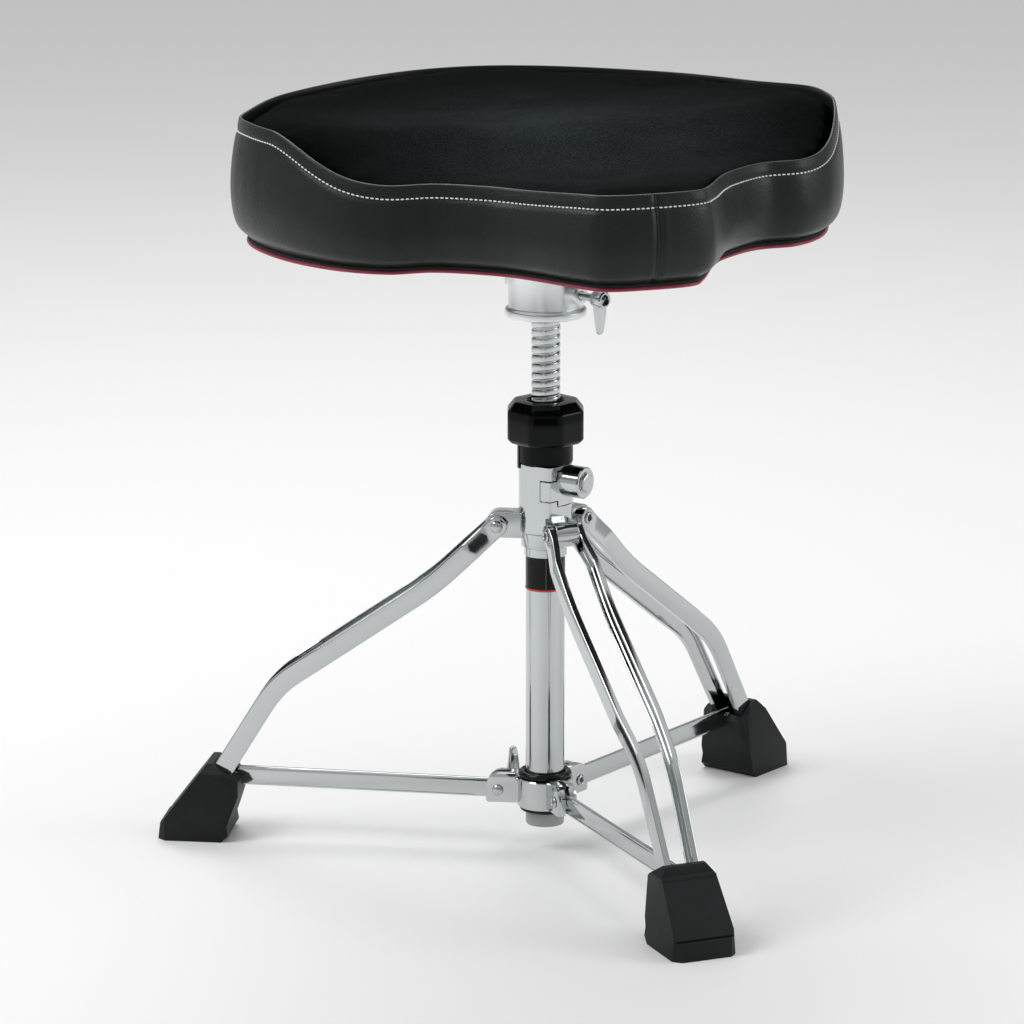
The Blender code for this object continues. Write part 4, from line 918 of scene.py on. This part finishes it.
def makeStrip(side):
    stations = stripRoute()
    half = leg["height"] / 2
    start, way = stations[0], (stations[1] - stations[0]).normalized()
    tab = [start + way * half * (1 - cos(radians(angle))) for angle in range(20, 91, 10)]
    stations = tab + [here for here in stations[1:] if (here - start).length > half]
    loops = []
    for i, here in enumerate(stations):
        gone = min((here - start).length / half, 1)
        narrow = (1 - (1 - gone) ** 2) ** 0.5
        before, after = stations[max(i - 1, 0)], stations[min(i + 1, len(stations) - 1)]
        along = Vector((after.x - before.x, after.z - before.z)).normalized()
        across = Vector((-along.y, along.x))
        loop = []
        for height, out in stripSection():
            height *= narrow
            loop.append((here.x + across.x * height, side * (here.y + out), here.z + across.y * height))
        loops.append(loop)
    return skin(loops)


foot = {
    "inner": 251.0, "outer": 301.5, "lip": 14.0, "height": 61.0, "topOuter": 263.0, "topInner": 238.5,
    "innerHeight": 47.0, "halfWidth": 25.6, "lean": 0.07, "corner": 7.0,
    "ridges": ((0.80, 1.4), (0.88, 1.4)), "ridgeDepth": 0.45, "topCorner": (5.5, 7.0),
}


def footWalls():
    inner, outer, lip, height = foot["inner"], foot["outer"], foot["lip"], foot["height"]
    topOuter, topInner, innerHeight = foot["topOuter"], foot["topInner"], foot["innerHeight"]
    base = Vector((outer - 4, lip + 1.5))
    slope = Vector((topOuter, height)) - base
    out = Vector((slope.y, -slope.x)).normalized()
    points = [(inner, 0), (outer, 0), (outer - 1.8, lip - 0.6), (outer - 2.6, lip),
              (outer - 4.9, lip + 0.1), (outer - 4.9, lip + 0.9), (base.x, base.y)]
    for share, width in foot["ridges"]:  # shallow grooves across the outer face
        centre = base + slope * share
        along = slope.normalized() * width / 2
        points += [tuple(p) for p in (centre - along, centre - out * foot["ridgeDepth"], centre + along)]
    return points + [(topOuter, height), (topOuter - 5, height), (topInner, innerHeight),
                     (topInner, 0.74 * innerHeight), (topInner + 8, 12.5), (inner - 5.5, 5)]


def leanIn(bm):
    for vert in bm.verts:
        vert.co.y -= foot["lean"] * vert.co.z * (1 if vert.co.y > 0 else -1)
    return bm


def makeFoot(name, place):
    body = leanIn(sideSlab(footWalls(), foot["halfWidth"]))
    half, corner = foot["halfWidth"] + 1, foot["corner"] + 1
    left, right = foot["topInner"] - 2, foot["outer"] + 1
    plan = [(left, -half + corner), (left + corner, -half), (right - corner, -half), (right, corner - half),
            (right, half - corner), (right - corner, half), (left + corner, half), (left, half - corner)]
    block = leanIn(slab(plan, -1, foot["height"] + 1))
    soften(block, 3.0, 4, 20, lambda e: abs(e.verts[0].co.z - e.verts[1].co.z) > 5)
    body = carve(body, block, operation="INTERSECT")
    high, across, drop = foot["height"], *foot["topCorner"]
    side = foot["halfWidth"] - foot["lean"] * high
    slant = [(40, high - drop - 5), (side + 0.35, high - drop), (side - across, high + 0.6)]
    front = [(-40, -1), (40, -1)] + slant + [(-x, z) for x, z in reversed(slant)]
    gable = turn(turn(slab(front, left, right), 90, "X"), 90, "Z")
    body = carve(body, gable, operation="INTERSECT")
    low, entry = Vector(leg["lowBend"]), Vector(leg["entry"])
    down = (entry - low).normalized()
    across = Vector((-down.y, down.x)) * (leg["height"] / 2 + 0.5)
    end = entry + down * ((entry.y - leg["endHeight"]) / -down.y + 1)
    start = entry - down * 60
    pocket = [tuple(p) for p in (start - across, end - across, end + across, start + across)]
    body = carve(body, sideSlab(pocket, leg["atFoot"] + leg["depth"] / 2 + 0.5))
    finishPiece(f"foot{name.title()}", body, rubber, f"leg_{name}", [f"foot_{name}"],
                place, edge=0.7, sharp=35)


def domeRivet(radius, head, rise, grip, domed):
    if domed:
        cap = [(head * cos(a), grip + 0.3 + rise * sin(a)) for a in np.linspace(0, pi / 2, 10)]
        cap[-1] = (0, grip + 0.3 + rise)
    else:
        hole = rivet["ringHole"] * head / rivet["head"]
        lift = 0.55 * rise
        ring = (head - hole) / 2
        cap = [(hole + ring + ring * cos(a), grip + 0.3 + lift * sin(a)) for a in np.linspace(0, pi, 12)]
        cap += [(hole, grip - 2.0), (0, grip - 2.2)]
    side = [(radius, grip + 0.2)] + cap
    return turn(lathe([(0, -z) if r == 0 else (r, -z) for r, z in reversed(side)] + side, 40), 90, "X")


def rivetHollowShades(head, grip):  # painted shade: black discs in the hollows of a rivet's two ends
    hole = rivet["ringHole"] * head / rivet["head"] - 0.05
    profile = oblong(0, grip - 0.3, hole, grip + 0.2)
    bm = lathe(profile, 32)
    addTo(bm, lathe([(r, -z) for r, z in profile], 32))
    return turn(bm, 90, "X")


def makeRivet(name, node, body, size, grip, place, domed):  # size is (radius, head, dome)
    pin = domeRivet(*size, grip, domed)
    finishPiece(name, pin, steel, body, [node], place)
    # Ring rivets get black discs that paint the shade in their hollow ends.
    if not domed:
        hollowShades = rivetHollowShades(size[1], grip)
        finishPiece(f"{name}Eyes", hollowShades, paintedSeamShade, body, place=place)


def makeLegs():
    size = (rivet["radius"], rivet["head"], rivet["dome"])
    for name, azimuth in legAzimuths.items():
        place = spoke(azimuth)
        for side, letter in ((1, "a"), (-1, "b")):
            finishPiece(f"leg{name.title()}Strip{letter.upper()}", makeStrip(side), chrome, f"leg_{name}",
                        [f"leg_strip_{name}_{letter}"], place, sharp=40)
        makeFoot(name, place)
        makeRivet(f"leg{name.title()}Rivet", f"leg_pin_{name}", "stand", size,
                  leg["atPivot"] + leg["depth"] / 2, spoke(azimuth, *leg["pivot"]), name == "left")


makeLegs()
print("legs made")


# Collar and braces

collar = {
    "radius": 21.5, "bore": 15.4, "clevisLow": 36.0, "clevisHigh": 59.5, "reach": 45.2, "round": 11.0,
    "halfWidth": 7.5, "pivot": (35.9, 45.75), "footPivot": (245.0, 48.5),
    "braceHeight": 15.0, "braceThick": 3.0,
    "pin": 2.0, "pinHead": 4.4, "pinDome": 2.6, "topRing": 2.6, "lowRingRadius": 19.6,
    "boltAzimuth": -163, "boltHeight": 45.0, "boss": 28.0, "bossRadius": 6.6, "wingAt": 33.0,
    "lipWidth": 1.4, "lipDepth": 0.5,
}


def makeCollar():
    low, high = topOf("collar_low_ring") + 0.3, bottomOf("collar_top_ring") - 0.3
    bore, radius, reach, rounding = (collar[key] for key in ("bore", "radius", "reach", "round"))
    body = lathe([(bore, low), (radius - 0.8, low), (radius, low + 0.8), (radius, high - 0.8),
                  (radius - 0.8, high), (bore, high)], 120)
    clear, root = bore + 2 * collar["topRing"] + 1.4, bore + 1.6
    bottom, top = collar["clevisLow"], collar["clevisHigh"]
    outline = [(root, bottom), (reach - 2, bottom)] + arc((reach - 2, bottom + 2), 2, -90, 0, 4)
    outline += arc((reach - rounding, top - rounding), rounding, 0, 90, 14)
    outline += [(clear, top), (clear, high - 1), (root, high - 1)]
    tools = [placed(soften(sideSlab(outline, collar["halfWidth"]), 0.6, 2, 60), facing(azimuth))
             for azimuth in legAzimuths.values()]
    boss, bossRadius = collar["boss"], collar["bossRadius"]
    tools.append(placed(peg([(3.4, radius - 3), (bossRadius, radius - 3), (bossRadius, boss - 0.8),
                             (bossRadius - 0.8, boss), (3.4, boss)], 48),
                        facing(collar["boltAzimuth"], collar["boltHeight"])))
    body = carve(body, *tools, operation="UNION")
    slot = oblong(collar["pivot"][0] - collar["braceHeight"] / 2 - 2, 0, 90, 90)
    cutters = [placed(sideSlab(slot, collar["braceThick"] / 2 + 0.4), facing(azimuth))
               for azimuth in legAzimuths.values()]
    body = carve(body, *cutters)
    finishPiece("collar", body, chrome, "collar", ["collar"], upright, sharp=32)
    ringLow, ringHigh = bottomOf("collar_top_ring"), topOf("collar_top_ring")
    minor = (ringHigh - ringLow) / 2
    ring = lathe(arc((bore + minor + 0.1, ringLow + minor), minor, 0, 345, 23))
    finishPiece("collarTopRing", ring, ringBlack, "collar", ["collar_top_ring"], upright)
    thinLow, thinHigh = bottomOf("collar_low_ring"), topOf("collar_low_ring")
    outer = collar["lowRingRadius"]
    thin = lathe([(bore, thinLow), (outer - 1, thinLow), (outer, thinLow + 1), (outer, thinHigh - 0.6),
                  (outer - 0.6, thinHigh), (bore, thinHigh)])
    finishPiece("collarLowRing", thin, ringBlack, "collar", ["collar_low_ring"], upright)
    makeWingBolt("collarWingBolt", "collar_wing_bolt", bore + 0.6, collar["wingAt"],
                 spoke(collar["boltAzimuth"], 0, collar["boltHeight"]), True)


def makeBraces():
    inner, outer = Vector(collar["pivot"]), Vector(collar["footPivot"])
    reach = (outer - inner).length
    lean = degrees(-(outer - inner).angle_signed(Vector((1, 0))))
    half, thick, lipDepth = collar["braceHeight"] / 2, collar["braceThick"] / 2, collar["lipDepth"]
    size = (collar["pin"], collar["pinHead"], collar["pinDome"])
    for name, azimuth in legAzimuths.items():
        strip = sideSlab(arc((0, 0), half, 270, 90, 16) + arc((reach, 0), half, 90, -90, 16), thick)
        soften(strip, 0.5, 2, 60)
        for side in (1, -1):  # a shallow lip runs along both long edges of each face
            for edge in (1, -1):
                inside, outside = edge * (half - collar["lipWidth"]), edge * (half - 0.15)
                lip = sideSlab([(half + 14, inside), (reach - 26, inside), (reach - 29, outside),
                                (half + 11, outside)], lipDepth / 2)
                soften(lip, 0.15, 1, 60)
                addTo(strip, move(lip, y=side * (thick + lipDepth / 2 - 0.22)))
        pivot = spoke(azimuth, *collar["pivot"])
        finishPiece(f"brace{name.title()}", strip, chrome, f"brace_{name}", [f"brace_{name}"],
                    pivot @ Matrix.Rotation(radians(lean), 4, "Y"), sharp=35)
        makeRivet(f"collar{name.title()}Rivet", f"collar_pin_{name}", "collar", size, collar["halfWidth"],
                  pivot, name == "left")


makeCollar()
makeBraces()
print("collar and braces made")


# Seat

seat = {
    "edge": (  # half of the outline, from the nose to the rear
        (0, -228), (35, -224), (52, -205), (80, -156), (103, -132), (130, -115), (163, -111), (195, -85),
        (219, -40), (229, 12), (224, 54), (201, 100), (161, 152), (106, 187), (50, 204), (0, 208)),
    "spacing": 2.6,
    "tuck": 8.0, "bulge": 7.2,
    "wall": ((0, -1.11), (0.04, -0.6), (0.13, 0.5), (0.3, 0.95), (0.5, 1), (0.75, 0.68), (1, 0.07)),
    "rimLow": 64.5, "rimRise": 30.0, "riseFrom": -114.0, "riseTo": -22.0,
    "rearFall": 4.5, "noseRise": 4.5, "noseFrom": -150.0, "noseEnd": -228.0, "dish": 9.0,
    "pipingRadius": 1.5, "pipingInset": 5.8,
    "fold": 1.1, "foldScale": 0.018, "pucker": 0.25, "puckerScale": (0.09, 0.09, 0.03),
}
stitch = {"below": 9.0, "pitch": 3.7, "length": 2.8, "radius": 0.58, "pull": 0.8, "pullWidth": 2.4}
noseSeam = {"depth": 1.9, "width": 2.2, "lip": 0.7, "lipAt": 4.6, "lipWidth": 1.8, "cord": 1.0}
cushion = {
    "voxel": 6.0, "frames": 20, "cap": 7.0, "share": 0.5, "under": 1.0, "inside": 3.4, "crown": 2.5,
    "freeDepth": 8.0, "blend": 4.0,
    "ripples": ((0.02, 0, 1.2), (0.06, 40, 0.35)),  # scale, layer, height
    "cloth": {
        "quality": 6, "use_pressure": True, "uniform_pressure_force": 4.0,
        "tension_stiffness": 18, "compression_stiffness": 18, "bending_stiffness": 1.5,
    },
}
pipingHeight = middle("seat_piping").z
wallBottom = bottomOf("seat_side_cover")


def smoothStep(value):
    value = min(max(value, 0), 1)
    return value * value * (3 - 2 * value)


def rimHeight(x, y):
    rise = seat["rimRise"] * smoothStep((y - seat["riseFrom"]) / (seat["riseTo"] - seat["riseFrom"]))
    nose = seat["noseRise"] * smoothStep((seat["noseFrom"] - y) / (seat["noseFrom"] - seat["noseEnd"]))
    corner = smoothStep(abs(x) / 170) * smoothStep((y - 10) / 90)
    return pipingHeight + seat["rimLow"] + rise + nose - seat["rearFall"] * corner


def seatOutline():  # evenly spaced points with their outward directions
    right = [Vector(p) for p in seat["edge"]]
    left = [Vector((-p.x, p.y)) for p in reversed(right[1:-1])]
    fine = curveThrough(right + left, 24, closed=True)
    steps = [0.0]
    for a, b in zip(fine, fine[1:] + fine[:1]):
        steps.append(steps[-1] + (b - a).length)
    count = round(steps[-1] / seat["spacing"])
    wanted = np.linspace(0, steps[-1], count, endpoint=False)
    xs = np.interp(wanted, steps, [p.x for p in fine + fine[:1]])
    ys = np.interp(wanted, steps, [p.y for p in fine + fine[:1]])
    points = [Vector((x, y)) for x, y in zip(xs, ys)]
    ways = []
    for i, point in enumerate(points):
        along = (points[(i + 3) % count] - points[i - 3]).normalized()
        ways.append(Vector((along.y, -along.x)))
    return points, ways


edgePoints, edgeWays = seatOutline()
wallCurve = curveThrough(seat["wall"], 6)
wallShares = [p.x for p in wallCurve]
wallBulges = [p.y for p in wallCurve]


def edgeLoop(out, height):  # out is the distance beyond the outline
    return [(p.x + w.x * out, p.y + w.y * out, height) for p, w in zip(edgePoints, edgeWays)]


def rimLoop(out, above):
    return [(p.x + w.x * out, p.y + w.y * out, rimHeight(p.x, p.y) + above)
            for p, w in zip(edgePoints, edgeWays)]


def wallPoint(point, way, share):
    top = rimHeight(point.x, point.y)
    height = wallBottom + share * (top - wallBottom)
    out = seat["bulge"] * np.interp(share, wallShares, wallBulges)
    out -= stitch["pull"] * exp(-((top - stitch["below"] - height) / stitch["pullWidth"]) ** 2)
    if point.y < -200:
        out -= noseSeam["depth"] * exp(-(point.x / noseSeam["width"]) ** 2)
        out += noseSeam["lip"] * exp(-((abs(point.x) - noseSeam["lipAt"]) / noseSeam["lipWidth"]) ** 2)
    middleShare = sin(pi * min(share, 1))
    spot = Vector((point.x, point.y, height))
    out += seat["fold"] * middleShare * noise.noise(spot * seat["foldScale"])
    out += seat["pucker"] * middleShare * noise.noise(spot * Vector(seat["puckerScale"]))
    return (point.x + way.x * out, point.y + way.y * out, height)


def makeSideCover():
    loops = [edgeLoop(-seat["tuck"] - 5, wallBottom + 3), edgeLoop(-seat["tuck"] - 4.5, wallBottom + 0.4),
             edgeLoop(-seat["tuck"] - 2, wallBottom - 0.1)]
    for share in np.concatenate([wallShares[:-6], np.linspace(wallShares[-7], 1, 16)[1:]]):
        loops.append([wallPoint(p, w, share) for p, w in zip(edgePoints, edgeWays)])
    top = seat["bulge"] * wallBulges[-1]
    for out, above in ((top - 0.3, 0.45), (top - 0.9, 0.7), (top - 1.5, 0.5), (top - 1.9, -0.2),
                       (top - 2.0, -3), (top - 2.0, -9)):
        loops.append(rimLoop(out, above))
    cover = skin(loops, capped=False)
    finishPiece("seatSideCover", cover, leather, "seat", ["seat_side_cover"],
                seatPlace, sharp=60)


def makeStitches():
    bm = bmesh.new()
    spots = []
    for p, w in zip(edgePoints, edgeWays):
        top = rimHeight(p.x, p.y)
        spots.append(Vector(wallPoint(p, w, (top - stitch["below"] - wallBottom) / (top - wallBottom))))
    lengths = [0.0]
    for a, b in zip(spots, spots[1:] + spots[:1]):
        lengths.append(lengths[-1] + (b - a).length)
    count = round(lengths[-1] / stitch["pitch"])
    at = np.linspace(0, lengths[-1], count, endpoint=False)
    closed = spots + spots[:1]
    ways = edgeWays + edgeWays[:1]
    channels = [np.interp(at, lengths, [getattr(p, axis) for p in closed]) for axis in "xyz"]
    wayX = np.interp(at, lengths, [w.x for w in ways])
    wayY = np.interp(at, lengths, [w.y for w in ways])
    places = [Vector(c) for c in zip(*channels)]
    for i, place in enumerate(places):
        along = (places[(i + 1) % count] - places[i - 1]).normalized()
        out = Vector((wayX[i], wayY[i], 0)).normalized()
        up = along.cross(out).normalized()
        basis = Matrix((along, out, up)).transposed().to_4x4()
        size = Matrix.Diagonal((stitch["length"] / 2, stitch["radius"], stitch["radius"], 1))
        spot = Matrix.Translation(place + out * stitch["radius"] * 0.55)
        bmesh.ops.create_icosphere(bm, subdivisions=2, radius=1.0, matrix=spot @ basis @ size)
    finishPiece("seatStitching", bm, threadWhite, "seat", place=seatPlace,
                sharp=180)


def tubeRound(out, height, radius, sides=14):
    loops = []
    for angle in np.linspace(0, 2 * pi, sides + 1):
        across, up = radius * cos(angle), radius * sin(angle)
        loops.append(edgeLoop(out + across, height + up) if height else rimLoop(out + across, up + 0.25))
    return skin(loops, capped=False)


def makeTrim():
    piping = tubeRound(-seat["pipingInset"], pipingHeight, seat["pipingRadius"])
    finishPiece("seatPiping", piping, pipingRed, "seat", ["seat_piping"], seatPlace,
                sharp=180)
    # A black band from the piping up under the leather paints the shade beneath the leather's tuck.
    inset = -seat["pipingInset"]
    band = skin([edgeLoop(inset - 7, pipingHeight + 0.2), edgeLoop(inset - 0.3, pipingHeight + 0.4),
                 edgeLoop(inset + 0.5, wallBottom - 0.6), edgeLoop(inset + 0.2, wallBottom + 0.9),
                 edgeLoop(inset - 2.4, wallBottom + 2.2), edgeLoop(inset - 7, wallBottom + 2.2),
                 edgeLoop(inset - 7, pipingHeight + 0.2)], capped=False)
    finishPiece("seatShadeBand", band, liningAndShade, "seat", place=seatPlace, sharp=180)
    top = seat["bulge"] * wallBulges[-1]
    # The rim bead is a cut edge, painted lighter grey than the leather as the rim's highlight line.
    edge = tubeRound(top - 1.6, 0, 0.55, 8)
    finishPiece("seatLeatherEdge", edge, greyEdgeAndHighlight, "seat", place=seatPlace,
                sharp=180)
    # A black cord along the nose seam's groove paints the groove's shade.
    nose = edgePoints[0]
    loops = []
    for share in np.linspace(0.01, 1, 50):
        x, y, z = wallPoint(nose, edgeWays[0], share)
        loops.append([(x + px, y + py, z) for px, py in arc((0, 0), noseSeam["cord"], 0, 315, 7)])
    finishPiece("seatNoseSeam", skin(loops), paintedSeamShade, "seat", place=seatPlace,
                sharp=180)


def cushionHeight(x, y, share):
    return rimHeight(x, y) - seat["dish"] * (1 - share * share) - cushion["under"]


def makeCushion():
    inside = seat["bulge"] * wallBulges[-1] - cushion["inside"]
    top = [Vector(p) for p in rimLoop(inside, -cushion["under"])]
    loops = []
    low = bottomOf("seat_foam")
    for drop, pull in ((1.0, 6.0), (0.55, 5.0), (0.25, 3.0), (0.08, 1.0)):
        loop = []
        for p, w in zip(top, edgeWays):
            height = p.z + (low - p.z) * drop
            loop.append((p.x - w.x * pull, p.y - w.y * pull, height))
        loops.append(loop)
    for share in (1.0, 0.985, 0.95, 0.88, 0.78, 0.66, 0.52, 0.38, 0.24, 0.12):
        crown = cushion["crown"] * smoothStep((1 - share) / 0.08) * share
        loops.append([(p.x * share, p.y * share, cushionHeight(p.x * share, p.y * share, share) + crown)
                      for p in top])
    bm = skin(loops)
    bmesh.ops.scale(bm, vec=(mm, mm, mm), verts=bm.verts)
    pad = newObject("seatCushion", bm)
    remesh = pad.modifiers.new("remesh", "REMESH")
    remesh.mode = "VOXEL"
    remesh.voxel_size = cushion["voxel"] * mm
    applyModifiers(pad)
    rest = np.array([v.co for v in pad.data.vertices])
    swell(pad)
    moved = np.array([v.co for v in pad.data.vertices])
    settleCushion(pad, rest, moved)
    smooth = pad.modifiers.new("smooth", "SUBSURF")
    smooth.levels = smooth.render_levels = 1
    applyModifiers(pad)
    place = seatPlace.copy()
    place.translation *= mm
    pad.data.transform(place)
    pad.data.shade_smooth()
    pad.data.materials.clear()
    pad.data.materials.append(velvet)
    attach(pad, "seat")
    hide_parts("seat_top_cover", "seat_foam")


def applyModifiers(obj):
    graph = bpy.context.evaluated_depsgraph_get()
    mesh = bpy.data.meshes.new_from_object(obj.evaluated_get(graph))
    obj.modifiers.clear()
    obj.data = mesh


def swell(pad):
    cloth = pad.modifiers.new("cloth", "CLOTH")
    for setting, value in cushion["cloth"].items():
        setattr(cloth.settings, setting, value)
    cloth.settings.effector_weights.gravity = 0
    scene = bpy.context.scene
    for step in range(1, cushion["frames"] + 1):
        scene.frame_set(step)
    applyModifiers(pad)
    scene.frame_set(1)


def settleCushion(pad, rest, moved):  # the pad swells only on top, and no further than its cap
    shift = moved - rest
    length = np.linalg.norm(shift, axis=1)
    shift *= np.minimum(1, cushion["cap"] * mm / np.maximum(length, 1e-9))[:, None]
    blend = cushion["blend"]
    for i, vert in enumerate(pad.data.vertices):
        x, y, z = rest[i] / mm
        depth = rimHeight(x, y) - seat["dish"] - cushion["freeDepth"] - z
        free = 1 - smoothStep((depth + blend) / (2 * blend))
        vert.co = rest[i] + shift[i] * free * cushion["share"]
        ripple = sum(height * noise.noise(Vector((x, y, layer)) * scale)
                     for scale, layer, height in cushion["ripples"])
        vert.co.z += free * ripple * mm


makeSideCover()
makeStitches()
makeTrim()
print("seat cover made")
makeCushion()
print("seat cushion made")


# Nodes that stay as they are

keptNodes = {
    "clamp_jaw_pin": steel, "nut_insert": steel, "rod_stop": steel, "seat_board": plywood,
    "seat_bottom_cover": liningAndShade, **{f"brace_pin_{name}": steel for name in legAzimuths},
    **{f"bracket_screw_{i}": steel for i in range(1, 5)}, **{f"t_nut_{i}": steel for i in range(1, 5)},
}
for node, material in keptNodes.items():
    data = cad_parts[node].data
    data.materials.clear()
    data.materials.append(material)
print("kept nodes finished")
